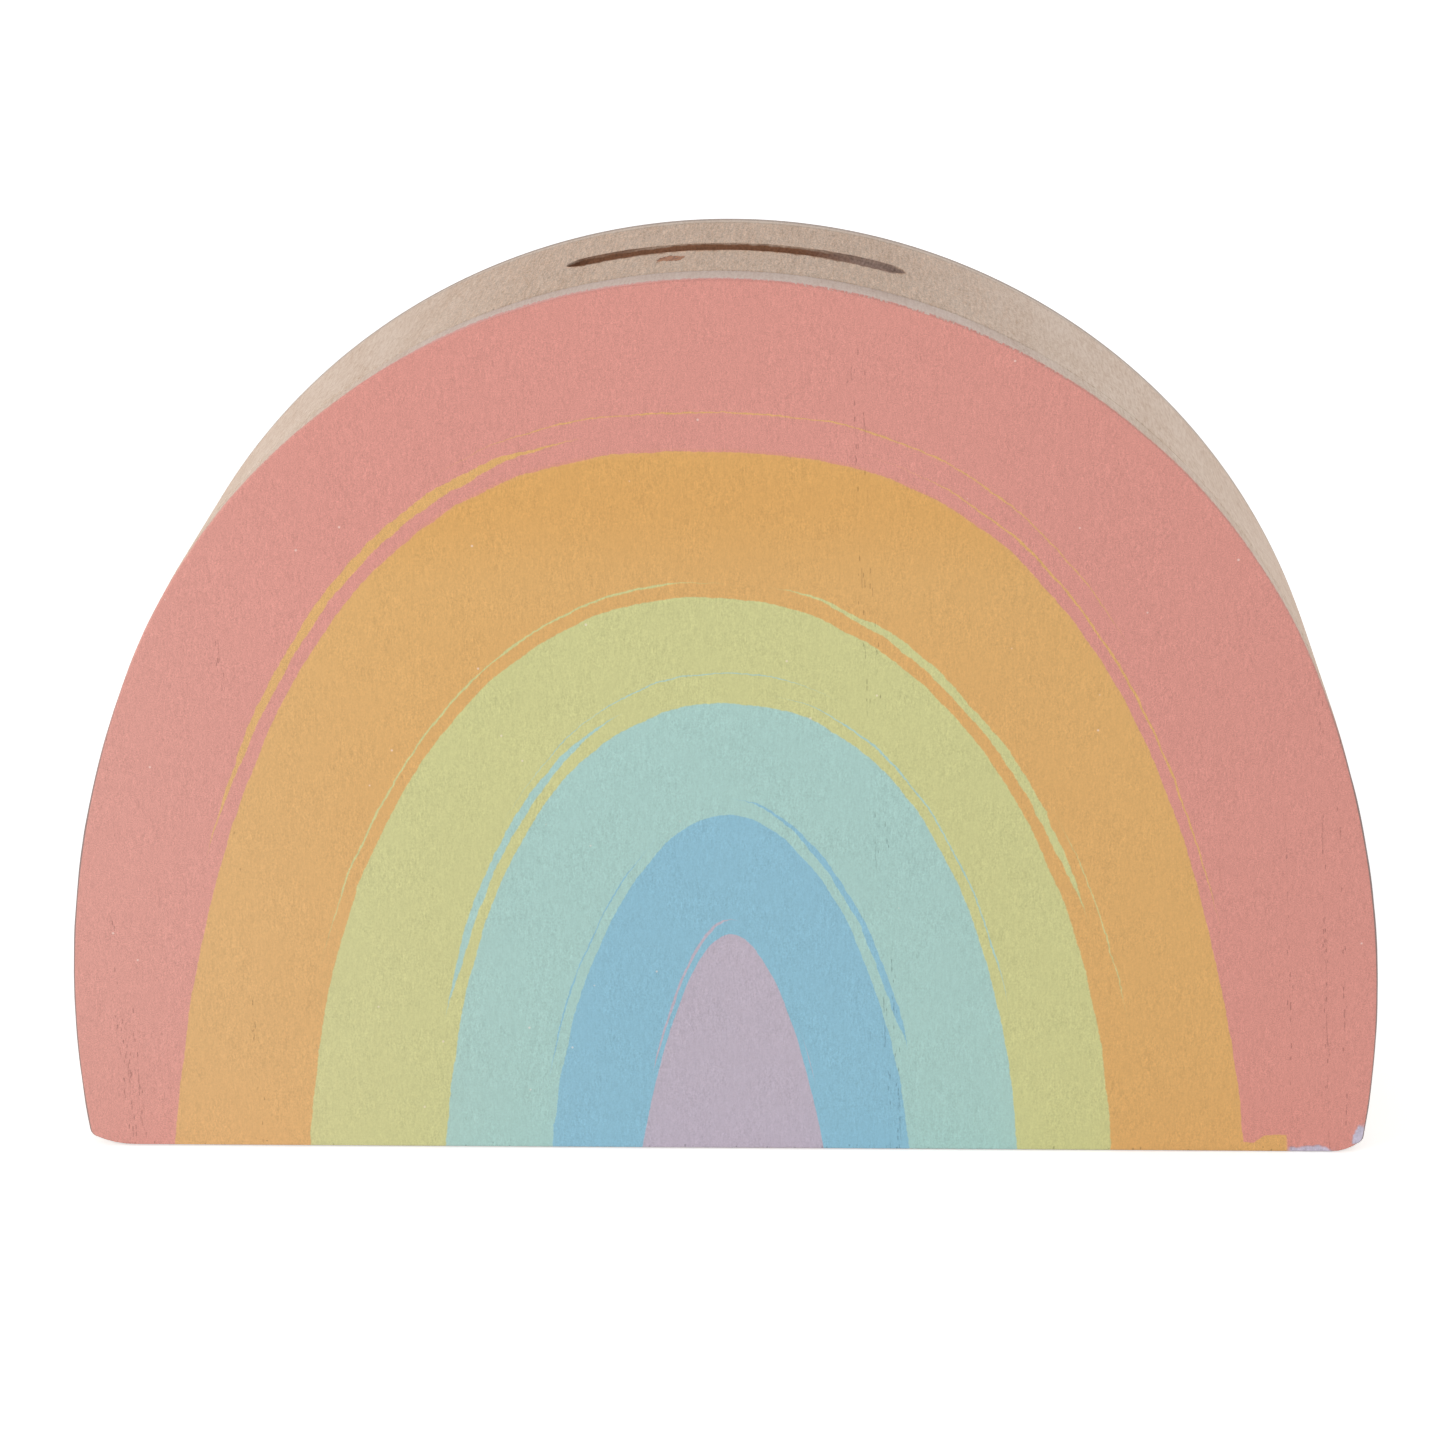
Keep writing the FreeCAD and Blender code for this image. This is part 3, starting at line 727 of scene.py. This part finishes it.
# Heights in millimetres between which the rim's end grain begins, and the place and size of its knot.
END_GRAIN_START = 90
END_GRAIN_FULL = 101
KNOT_X = -5.7
KNOT_Y = -5.6
KNOT_WIDTH = 1.9
KNOT_DEPTH = 2.1

# The paler scorch at the right end of the coin slot. The stain on its lips: how far from the slot's ends it
# begins and stops, how far past the slot's sides it reaches and how far below the crown.
PALE_SCORCH = screen(190, 167, 157)
STAIN_START = (0.6, 1.6)
STAIN_STOP = (6, 12)
STAIN_REACH = (0.15, 0.5)
STAIN_DEPTH = (0.4, 0.8)


def wood_grain(wood, colours, contrast=1):
    """Upright fibres, rings and pores: the colour and the height of a bare sanded piece."""
    rings = wood.noise(0.25, 0.05, 0.02, detail=3, roughness=0.6)
    fibres = wood.noise(3.0, 3.0, 0.12, detail=3, roughness=0.65)
    scratches = wood.noise(4.0, 0.35, 4.0, detail=2)
    pores = wood.dots((2.4, 2.4, 0.2), 0.26, 0.16 + rings * 0.35)
    across = wood.step(wood.z, 35, 85) * 0.55 + 0.15
    deep = rings * 0.35 + fibres * 1.1 + scratches * across + 0.36
    colour = wood.blend(wood.step(deep * contrast, 0, 1), colours.wood_pale, colours.wood_deep)
    colour = wood.shade(colour, 1 - pores * 0.28 * contrast)
    relief = fibres * 0.04 + scratches * 0.02 - pores * 0.06
    return colour, relief


def joint_line(wood, joint, fray):
    """A thin line of glue and dust along a joint, at a depth in millimetres."""
    return 1 - wood.step(abs(wood.y - joint) + fray * 0.7, 0.1, 0.7)


def slot_scorch(wood, sizes, fray):
    """Where the coin slot's walls and stained lips lie, and how far below the crown a place is."""
    arch = Arch(sizes)
    straight = (sizes.slot_length - sizes.slot_width) / 2 / MM
    along = (abs(wood.x - sizes.slot_offset / MM) - straight).at_least(0)
    across = wood.y - sizes.slot_setback / MM
    outside = (along * along + across * across) ** 0.5 - sizes.slot_width / 2 / MM
    up = wood.z - arch.crown_middle / MM
    below = arch.crown_radius / MM - (wood.x * wood.x + up * up) ** 0.5
    scorch = (1 - wood.step(outside, 0.2, 0.35)) * wood.step(below + fray * 0.5, 0.1, 0.4)
    scorch = scorch * (1 - wood.step(below - sizes.rim_wall / MM, -0.2, 0.2))
    from_end = sizes.slot_length / 2 / MM - abs(wood.x - sizes.slot_offset / MM)
    past_side = abs(across) - sizes.slot_width / 2 / MM
    stain = wood.step(from_end, *STAIN_START) * (1 - wood.step(from_end, *STAIN_STOP))
    stain = stain * (1 - wood.step(past_side + fray * 0.8, *STAIN_REACH))
    stain = stain * (1 - wood.step(below, *STAIN_DEPTH))
    return scorch, stain, below


def make_rim_wood(colours, sizes):
    """Bare wood, browner on the end grain of the crown, with a scorched coin slot darkened by painted shade
    deeper down, and a small knot.
    """
    wood = Finish("bare_wood")
    colour, relief = wood_grain(wood, colours)
    fray = wood.noise(0.9, 0.9, 0.9, detail=3)

    end_grain = wood.step(wood.z, END_GRAIN_START, END_GRAIN_FULL)
    flecks = wood.dots((1.6, 0.5, 1.6), 0.24, end_grain * 0.25)
    dashes = wood.dots((0.35, 3.2, 0.3), 0.26, (1 - wood.step(abs(wood.x + 13), 2, 9)) * end_grain * 0.2)
    sawn = wood.noise(2.6, 0.2, 2.6, detail=3, roughness=0.7) * 0.8
    specks = wood.noise(6.5, 1.2, 6.5, detail=2, roughness=0.6) * 1.2
    colour = wood.blend(end_grain * 0.38, colour, colours.wood_deep)
    colour = wood.shade(colour, (sawn + specks) * end_grain + 1.06 - flecks * 0.2 - dashes * 0.3)

    ragged = wood.noise(1.7, 0.5, 1.7, detail=3)
    knot = ((wood.x - KNOT_X) / KNOT_WIDTH) ** 2 + ((wood.y - KNOT_Y) / KNOT_DEPTH) ** 2 + ragged * 3
    knot = (1 - wood.step(knot, 0.5, 0.9)) * end_grain
    heart = wood.step(wood.noise(2.4, 0.9, 2.4, detail=2), -0.02, 0.08)
    colour = wood.blend(knot, colour, wood.shade(colours.knot, 1.15 - heart * 0.65))

    for joint in (FRONT_JOINT, REAR_JOINT):
        colour = wood.shade(colour, 1 - joint_line(wood, joint / MM, fray) * (end_grain * 0.1 + 0.04))

    scorch, stain, below = slot_scorch(wood, sizes, fray)
    grain = wood.noise(3.5, 3.5, 3.5, detail=3)
    char_and_shade = wood.blend(wood.step(wood.x + fray * 8, 8, 18) * 0.7, colours.burnt, PALE_SCORCH)
    # The scorched walls are lighter just below the lips and darker deeper into the slot: painted shade.
    char_and_shade = wood.shade(char_and_shade, 1.06 - wood.step(below, 0.4, 1.4) * 0.12 - stain * 0.2 + grain * 1.5)
    colour = wood.blend(scorch.at_least(stain * 0.8), colour, char_and_shade)
    return wood.finish(colour, 0.72 + wood.noise(1.5, 1.5, 0.2) * 0.15, relief, specular=0.25)


def make_rear_wood(colours):
    """Plain bare wood, with painted shade greying the sanded rear edge."""
    wood = Finish("rear_board")
    colour, relief = wood_grain(wood, colours, contrast=0.8)
    fray = wood.noise(0.5, 0.5, 0.5)
    depth = REAR_FACE / MM - wood.y
    # Painted shade: a grey band on the sanded rear edge, where it turns away from the light.
    shaded_edge_band = wood.step(depth, 0.03, 0.15) * (1 - wood.step(depth + fray * 0.5, 1.2, 2.2))
    colour = wood.blend(shaded_edge_band * 0.58, colour, colours.edge_shade_and_grime)
    colour = wood.shade(colour, 1 - joint_line(wood, REAR_JOINT / MM, fray) * 0.14)
    return wood.finish(colour, 0.7 + wood.noise(1.5, 1.5, 0.2) * 0.15, relief, specular=0.25)


def make_pin_steel(colours):
    """Drawn wire with hammered heads."""
    steel = Finish("pin_steel")
    dull = steel.noise(2.5, 2.5, 2.5, detail=3)
    colour = steel.shade(colours.steel, 1 + dull * 0.5)
    steel.shader.inputs["Metallic"].default_value = 1
    return steel.finish(colour, 0.36 + dull * 0.3, dull * 0.02, specular=0.5)


DUST = screen(150, 146, 140)


def make_stopper_rubber(colours):
    """Black moulded rubber with a fine matt grain and a trace of dust."""
    rubber = Finish("stopper_rubber")
    grain = rubber.noise(7, 7, 7, detail=2)
    dust = rubber.step(rubber.noise(0.4, 0.4, 0.4, detail=4), 0.05, 0.3)
    colour = rubber.blend(dust * 0.12, colours.rubber, DUST)
    return rubber.finish(colour, 0.55 + dust * 0.15 + grain * 0.1, grain * 0.02, specular=0.4)


# Pieces.

# How deep the front board's sanded edge is worn, and how long the worn places are.
EDGE_WEAR = 0.14 * MM
EDGE_WEAR_GRAIN = 7 * MM


class MONEYBOX_OT_front_board(Operator):
    """Model the painted front board"""

    bl_idname = "money_box.front_board"
    bl_label = "Front Board"

    def execute(self, context):
        sizes = context.scene.money_box_sizes
        arch = Arch(sizes)
        piece = make_board("front_board", arch, FRONT_FACE, FRONT_JOINT, sizes.front_easing,
                           sizes.joint_easing)
        roughen(piece, "front_wear", lambda place: FRONT_FACE + SAME < place.y < FRONT_JOINT - SAME,
                EDGE_WEAR, EDGE_WEAR_GRAIN)
        hand_over(piece, make_front_paint(context.scene.money_box_colours), "box", "painted_front",
                  "front_panel")
        return {"FINISHED"}


# The coin slot's lips: how round they are, how deep they are torn and how long the tears are. The rounding
# of its ends is a share of half its width.
LIP_ROUNDING = 0.3 * MM
LIP_WEAR = 0.22 * MM
LIP_GRAIN = 0.7 * MM
SLOT_END_SHARE = 0.98


class MONEYBOX_OT_rim_arch(Operator):
    """Model the bare wooden arch with its rebates and coin slot"""

    bl_idname = "money_box.rim_arch"
    bl_label = "Rim Arch"

    def execute(self, context):
        sizes = context.scene.money_box_sizes
        arch = Arch(sizes)
        piece = self.sweep_arch(arch, sizes.rim_wall)
        self.cut_rebate(piece, sizes.glue_gap)
        self.cut_slot(piece, sizes)
        self.ease_joints(piece, arch, sizes.joint_easing)
        self.wear_slot(piece, arch, sizes)
        hand_over(piece, make_rim_wood(context.scene.money_box_colours, sizes), "box", "bare_wood",
                  "arch_rim")
        return {"FINISHED"}

    def sweep_arch(self, arch, wall):
        """The outline's solid with the coin chamber cut out of it, open at the ground."""
        piece = trace_outline("rim_arch", arch, FRONT_JOINT)
        fill_through(REAR_JOINT - FRONT_JOINT)
        chamber = trace_over(arch, FRONT_JOINT - MM, wall)
        below = arch.widest + MM
        draw_on(0, 0, -below)
        draw_on(2 * (arch.half_width - wall), 0, 0)
        draw_on(0, 0, below)
        fill_through(REAR_JOINT - FRONT_JOINT + 2 * MM)
        combine(piece, chamber, "DIFFERENCE")
        return piece

    def cut_rebate(self, piece, gap):
        """Cuts the seats for the two ends of the base plank."""
        low = (PLANK_LOW.x - gap, FRONT_JOINT - MM, -MM)
        high = (PLANK_HIGH.x + gap, REAR_JOINT + MM, PLANK_HIGH.z + gap)
        tool = start_block("rebate_cutter", low, high)
        combine(piece, tool, "DIFFERENCE")

    def cut_slot(self, piece, sizes):
        """Cuts the coin slot through the crown, with round ends."""
        half_length = sizes.slot_length / 2
        half_width = sizes.slot_width / 2
        middle = Vector((sizes.slot_offset, sizes.slot_setback, sizes.height - sizes.rim_wall / 2))
        reach = Vector((half_length, half_width, 1.5 * sizes.rim_wall))
        tool = start_block("slot_cutter", middle - reach, middle + reach)
        pick("EDGE", lambda edge: abs(edge.verts[0].co.z - edge.verts[1].co.z) > SAME)
        ease(half_width * SLOT_END_SHARE, 10)
        combine(piece, tool, "DIFFERENCE")

    def ease_joints(self, piece, arch, easing):
        """Breaks the outer edges along the two joints."""
        middle = Vector((0, 0, arch.widest))

        def on_joint(edge):
            start, end = (point.co for point in edge.verts)
            if abs(start.y - end.y) > SAME or min(abs(start.y - y) for y in (FRONT_JOINT, REAR_JOINT)) > SAME:
                return False
            walls = [face for face in edge.link_faces if abs(face.normal.y) < 0.5]
            return any(face.normal.dot(start - middle) > 0 for face in walls)

        reopen(piece)
        pick("EDGE", on_joint)
        ease(easing, 1)

    def wear_slot(self, piece, arch, sizes):
        """Rounds the lips of the coin slot and tears them a little."""
        crown = Vector((0, 0, arch.crown_middle))
        straight = (sizes.slot_length - sizes.slot_width) / 2

        def near_mouth(place, reach):
            below = arch.crown_radius - (Vector((place.x, 0, place.z)) - crown).length
            along = max(abs(place.x - sizes.slot_offset) - straight, 0)
            outside = math.hypot(along, place.y - sizes.slot_setback) - sizes.slot_width / 2
            return abs(below) < reach and abs(outside) < reach

        def on_lip(place):
            return near_mouth(place, 1.2 * LIP_ROUNDING)

        reopen(piece)
        pick_edges(lambda place: near_mouth(place, 4 * SAME))
        ease(LIP_ROUNDING, 3)
        close_up()
        pick("EDGE", lambda edge: edge.calc_length() > LIP_GRAIN and on_lip(edge.verts[0].co)
             and on_lip(edge.verts[1].co))
        bpy.ops.mesh.subdivide(number_cuts=3)
        roughen(piece, "slot_lips", on_lip, LIP_WEAR, LIP_GRAIN)


class MONEYBOX_OT_base_plank(Operator):
    """Finish the base plank"""

    bl_idname = "money_box.base_plank"
    bl_label = "Base Plank"

    def execute(self, context):
        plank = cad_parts["base_plank"]
        plank.data.materials.clear()
        plank.data.materials.append(bpy.data.materials["bare_wood"])
        return {"FINISHED"}


# How far a pin's head is punched in below the board's face, and the play round it.
PIN_PLAY = 0.1 * MM
PIN_SIDES = 24

# Where the pins on the right stand: an angle on the crown's arc, two on the side's arc, and how far across
# on the base plank. Those on the left mirror them.
CROWN_PIN_ANGLE = math.radians(27)
LEG_PIN_ANGLES = (math.radians(17), math.radians(-3))
BASE_PIN_X = 35 * MM

# The rear board's hole.
HOLE_SIDES = 96
HOLE_EASING = 0.5 * MM


class MONEYBOX_OT_rear_board(Operator):
    """Model the rear board with its hole and the seats of its pins"""

    bl_idname = "money_box.rear_board"
    bl_label = "Rear Board"

    def execute(self, context):
        sizes = context.scene.money_box_sizes
        arch = Arch(sizes)
        piece = make_board("rear_board", arch, REAR_FACE, REAR_JOINT, sizes.rear_easing,
                           sizes.joint_easing)
        hole = start_peg("hole_cutter", sizes.hole_radius, REAR_JOINT - MM, REAR_FACE + MM, 0, HOLE_HEIGHT,
                         HOLE_SIDES)
        combine(piece, hole, "DIFFERENCE")
        seat = REAR_FACE - sizes.pin_head_depth - PIN_PLAY
        for x, z in pin_places(arch, sizes):
            tool = start_peg("seat_cutter", sizes.pin_head_radius + PIN_PLAY, seat, REAR_FACE + MM, x, z,
                             PIN_SIDES)
            combine(piece, tool, "DIFFERENCE")
        reopen(piece)
        pick_ring(sizes.hole_radius, REAR_FACE, HOLE_HEIGHT)
        ease(HOLE_EASING, 3)
        close_up()
        hand_over(piece, make_rear_wood(context.scene.money_box_colours), "box", "rear_board", "rear_panel")
        return {"FINISHED"}


def pin_places(arch, sizes):
    """Where the panel pins stand, across and up: in the middle of the rim's wall and of the base plank."""
    crown = arch.crown_radius - sizes.rim_wall / 2
    side = arch.side_radius - sizes.rim_wall / 2
    right = [(crown * math.sin(CROWN_PIN_ANGLE), arch.crown_middle + crown * math.cos(CROWN_PIN_ANGLE))]
    for turn in LEG_PIN_ANGLES:
        right.append((side * math.cos(turn) - arch.side_shift, arch.widest + side * math.sin(turn)))
    right.append((BASE_PIN_X, (PLANK_HIGH.z + sizes.glue_gap) / 2))
    return right + [(-x, z) for x, z in right]


# A pin's tip as a share of its shank, and on its head the rounding, the flat ring and the punch mark.
TIP_SHARE = 0.12
HEAD_ROUNDING = 0.12 * MM
HEAD_RING = 0.35 * MM
PUNCH_SLOPE = 0.15 * MM
PUNCH_DEPTH = 0.06 * MM


class MONEYBOX_OT_panel_pins(Operator):
    """Model one panel pin and copy it to every place"""

    bl_idname = "money_box.panel_pins"
    bl_label = "Panel Pins"

    def execute(self, context):
        sizes = context.scene.money_box_sizes
        first, *others = pin_places(Arch(sizes), sizes)
        pins = [self.shape_pin(sizes, *first)]
        for x, z in others:
            start_alone()
            pin = pins[0].copy()
            pin.data = pins[0].data.copy()
            context.collection.objects.link(pin)
            reopen(pin)
            bpy.ops.mesh.select_all(action="SELECT")
            bpy.ops.transform.translate(value=(x - first[0], 0, z - first[1]))
            pins.append(pin)
        start_alone()
        for pin in pins:
            pin.select_set(True)
        context.view_layer.objects.active = pins[0]
        bpy.ops.object.join()
        hand_over(pins[0], make_pin_steel(context.scene.money_box_colours), "box", "pin_steel", "panel_pins")
        return {"FINISHED"}

    def shape_pin(self, sizes, x, z):
        """A round head with a punch mark, a shank and a point."""
        head = REAR_FACE - PIN_PLAY
        seat = REAR_FACE - sizes.pin_head_depth
        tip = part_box("panel_pins")[0].y
        pin = start_peg("pins", sizes.pin_head_radius, seat, head, x, z, PIN_SIDES)
        inset_face(seat, sizes.pin_head_radius - sizes.pin_radius)
        draw_on(0, tip + sizes.pin_point - seat, 0)
        draw_on(0, -sizes.pin_point, 0)
        bpy.ops.transform.resize(value=(TIP_SHARE, 1, TIP_SHARE), center_override=(x, tip, z))
        pick_edges(lambda place: abs(place.y - head) < SAME)
        ease(HEAD_ROUNDING, 3)
        inset_face(head, HEAD_RING)
        bpy.ops.mesh.inset(thickness=PUNCH_SLOPE, depth=-PUNCH_DEPTH)
        close_up()
        return pin


# Roundings of the stopper's rings. The grip bar lies a little below the flange's face, and runs into the
# wall and the floor of the dish.
STOPPER_SIDES = 96
FLANGE_ROUNDING = 1.0 * MM
DISH_ROUNDING = 0.35 * MM
RING_ROUNDING = 0.3 * MM
GRIP_ROUNDING = 0.45 * MM
GRIP_BELOW_FACE = 0.12 * MM
GRIP_INTO_WALL = 0.6 * MM
GRIP_INTO_FLOOR = 0.4 * MM


class MONEYBOX_OT_stopper(Operator):
    """Model the moulded stopper: a hollow barrel, a dished flange and a grip bar"""

    bl_idname = "money_box.stopper"
    bl_label = "Stopper"

    def execute(self, context):
        sizes = context.scene.money_box_sizes
        piece = self.turn_plug(sizes)
        self.add_grip(piece, sizes)
        hand_over(piece, make_stopper_rubber(context.scene.money_box_colours), "stopper", "stopper_rubber",
                  "stopper")
        return {"FINISHED"}

    def turn_plug(self, sizes):
        """A profile from the middle of the dish round to the middle of the cap's underside, turned."""
        face = STOPPER_HIGH.y
        end = STOPPER_LOW.y
        flange = (STOPPER_HIGH.z - STOPPER_LOW.z) / 2
        dish = flange - sizes.dish_rim
        barrel = sizes.barrel_radius
        inside = barrel - sizes.barrel_wall
        floor = face - sizes.dish_depth
        profile = (
            (0, floor), (dish, floor), (dish, face), (flange, face), (flange, REAR_FACE), (barrel, REAR_FACE),
            (barrel, end + sizes.bead_length), (barrel + sizes.bead_height, end + sizes.bead_length / 2),
            (barrel, end), (inside, end), (inside, floor - sizes.cap_thickness),
            (0, floor - sizes.cap_thickness))
        piece = start_point("stopper_plug", (0, floor, HOLE_HEIGHT))
        for (radius, y), (next_radius, next_y) in zip(profile, profile[1:]):
            draw_on(next_radius - radius, next_y - y, 0)
        bpy.ops.mesh.select_all(action="SELECT")
        bpy.ops.mesh.spin(steps=STOPPER_SIDES, angle=2 * math.pi, center=(0, 0, HOLE_HEIGHT),
                          axis=(0, 1, 0))
        close_up()
        for radius, y, rounding in (
                (flange, face, FLANGE_ROUNDING), (flange, REAR_FACE, RING_ROUNDING),
                (dish, face, DISH_ROUNDING), (dish, floor, RING_ROUNDING), (barrel, end, RING_ROUNDING),
                (inside, end, RING_ROUNDING)):
            pick_ring(radius, y, HOLE_HEIGHT)
            ease(rounding, 4)
        return piece

    def add_grip(self, piece, sizes):
        """A bar across the dish, rounded along its top."""
        reach = (STOPPER_HIGH.z - STOPPER_LOW.z) / 2 - sizes.dish_rim + GRIP_INTO_WALL
        root = STOPPER_HIGH.y - sizes.dish_depth - GRIP_INTO_FLOOR
        top = STOPPER_HIGH.y - GRIP_BELOW_FACE
        low = (-reach, root, HOLE_HEIGHT - sizes.grip_width / 2)
        high = (reach, top, HOLE_HEIGHT + sizes.grip_width / 2)
        bar = start_block("grip_bar", low, high)
        pick("EDGE", lambda edge: all(abs(end.co.y - top) < SAME for end in edge.verts)
             and abs(edge.verts[0].co.x - edge.verts[1].co.x) > SAME)
        ease(GRIP_ROUNDING, 4)
        combine(piece, bar, "UNION")


# Stage.

# The camera's place and turns, as the photograph was taken, and its lens and sensor in millimetres.
CAMERA_PLACE = Vector((19.17, -499.15, 194.05)) * MM
CAMERA_TURN = math.radians(2.25)
CAMERA_TILT = math.radians(16.51)
CAMERA_ROLL = math.radians(0.52)
CAMERA_LENS = 110.8
CAMERA_SENSOR = 36

# The lamps: name, place, width and strength in watts, all aimed at the middle of the box.
Lamp = namedtuple("Lamp", "name place width watts")
LAMPS = (
    Lamp("key", (-0.80, -0.55, 0.28), 0.6, 5.8),
    Lamp("fill", (0.95, -0.50, 0.28), 0.8, 3.8),
    Lamp("back", (0.15, 1.2, 0.5), 0.9, 3.0),
)


# The floor's size, shade and roughness, how far it lies below the box and how much it glows to the camera.
# The sky's strength as light and as it is seen.
FLOOR_SIZE = 8
FLOOR_WHITE = 0.85
FLOOR_ROUGHNESS = 0.9
FLOOR_GAP = 0.05 * MM
FLOOR_GLOW = 0.52
SKY_LIGHT = 0.5
SKY_SEEN = 1


def seen_directly(tree):
    """A socket that is 1 for rays from the camera, from a mirror or through glass."""
    rays = tree.nodes.new("ShaderNodeLightPath")
    seen = rays.outputs["Is Camera Ray"]
    for ray in ("Is Glossy Ray", "Is Transmission Ray"):
        either = tree.nodes.new("ShaderNodeMath")
        either.operation = "MAXIMUM"
        tree.links.new(seen, either.inputs[0])
        tree.links.new(rays.outputs[ray], either.inputs[1])
        seen = either.outputs[0]
    return seen


class MONEYBOX_OT_stage(Operator):
    """Set up the floor, the light and the camera"""

    bl_idname = "money_box.stage"
    bl_label = "Stage"

    def execute(self, context):
        start_alone()
        self.lay_floor()
        self.light_world(context.scene)
        middle = Vector((0, 0, CROWN_HEIGHT / 2))
        for lamp in LAMPS:
            bpy.ops.object.light_add(type="AREA", location=lamp.place)
            light = context.object
            light.name = lamp.name
            light.data.size = lamp.width
            light.data.energy = lamp.watts
            light.rotation_euler = (middle - light.location).to_track_quat("-Z", "Y").to_euler()
        bpy.ops.object.camera_add()
        camera = context.object
        camera.data.lens = CAMERA_LENS
        camera.data.sensor_width = CAMERA_SENSOR
        camera.matrix_world = (
            Matrix.Translation(CAMERA_PLACE) @ Matrix.Rotation(CAMERA_TURN, 4, "Z")
            @ Matrix.Rotation(math.pi / 2 - CAMERA_TILT, 4, "X") @ Matrix.Rotation(-CAMERA_ROLL, 4, "Z"))
        context.scene.camera = camera
        context.scene.view_settings.view_transform = "Standard"
        return {"FINISHED"}

    def lay_floor(self):
        """A white floor that glows a little to the camera, so that only the box's shadow shows on it."""
        bpy.ops.mesh.primitive_plane_add(size=FLOOR_SIZE, location=(0, 0, -FLOOR_GAP))
        floor = bpy.context.object
        floor.name = "floor"
        finish = Finish("floor")
        finish.finish((FLOOR_WHITE, FLOOR_WHITE, FLOOR_WHITE), FLOOR_ROUGHNESS, specular=0)
        seen = Value(finish, seen_directly(finish.tree))
        glow = finish.node("ShaderNodeEmission", sockets={"Color": (1, 1, 1), "Strength": FLOOR_GLOW})
        matt = Value(finish, finish.shader.outputs[0])
        lit = finish.node("ShaderNodeAddShader", sockets={0: matt, 1: glow})
        mixed = finish.node("ShaderNodeMixShader", sockets={0: seen, 1: matt, 2: lit})
        finish.feed(finish.tree.nodes["Material Output"].inputs["Surface"], mixed)
        floor.data.materials.append(finish.material)

    def light_world(self, scene):
        """Soft light from all round, and plain white where the camera sees past the floor."""
        scene.world = bpy.data.worlds.new("studio")
        scene.world.use_nodes = True
        tree = scene.world.node_tree
        background = tree.nodes["Background"]
        level = tree.nodes.new("ShaderNodeMapRange")
        level.inputs["To Min"].default_value = SKY_LIGHT
        level.inputs["To Max"].default_value = SKY_SEEN
        tree.links.new(seen_directly(tree), level.inputs["Value"])
        tree.links.new(level.outputs[0], background.inputs["Strength"])
        background.inputs["Color"].default_value = (1, 1, 1, 1)


class MONEYBOX_PT_sidebar(Panel):
    """The money box's sizes, colours and pieces"""

    bl_label = "Money Box"
    bl_idname = "MONEYBOX_PT_sidebar"
    bl_space_type = "VIEW_3D"
    bl_region_type = "UI"
    bl_category = "Money Box"

    def draw(self, context):
        for group in (context.scene.money_box_sizes, context.scene.money_box_colours):
            box = self.layout.box()
            for name in group.__annotations__:
                box.prop(group, name)
        for operator in OPERATORS:
            self.layout.operator(operator.bl_idname)


OPERATORS = (
    MONEYBOX_OT_front_board,
    MONEYBOX_OT_rim_arch,
    MONEYBOX_OT_base_plank,
    MONEYBOX_OT_rear_board,
    MONEYBOX_OT_panel_pins,
    MONEYBOX_OT_stopper,
    MONEYBOX_OT_stage,
)
CLASSES = (MoneyBoxSizes, MoneyBoxColours, *OPERATORS, MONEYBOX_PT_sidebar)


def register():
    for cls in CLASSES:
        bpy.utils.register_class(cls)
    bpy.types.Scene.money_box_sizes = PointerProperty(type=MoneyBoxSizes)
    bpy.types.Scene.money_box_colours = PointerProperty(type=MoneyBoxColours)


def unregister():
    del bpy.types.Scene.money_box_colours
    del bpy.types.Scene.money_box_sizes
    for cls in reversed(CLASSES):
        bpy.utils.unregister_class(cls)


def main():
    register()
    for operator in OPERATORS:
        group, name = operator.bl_idname.split(".")
        getattr(getattr(bpy.ops, group), name)()


if __name__ == "__main__":
    main()
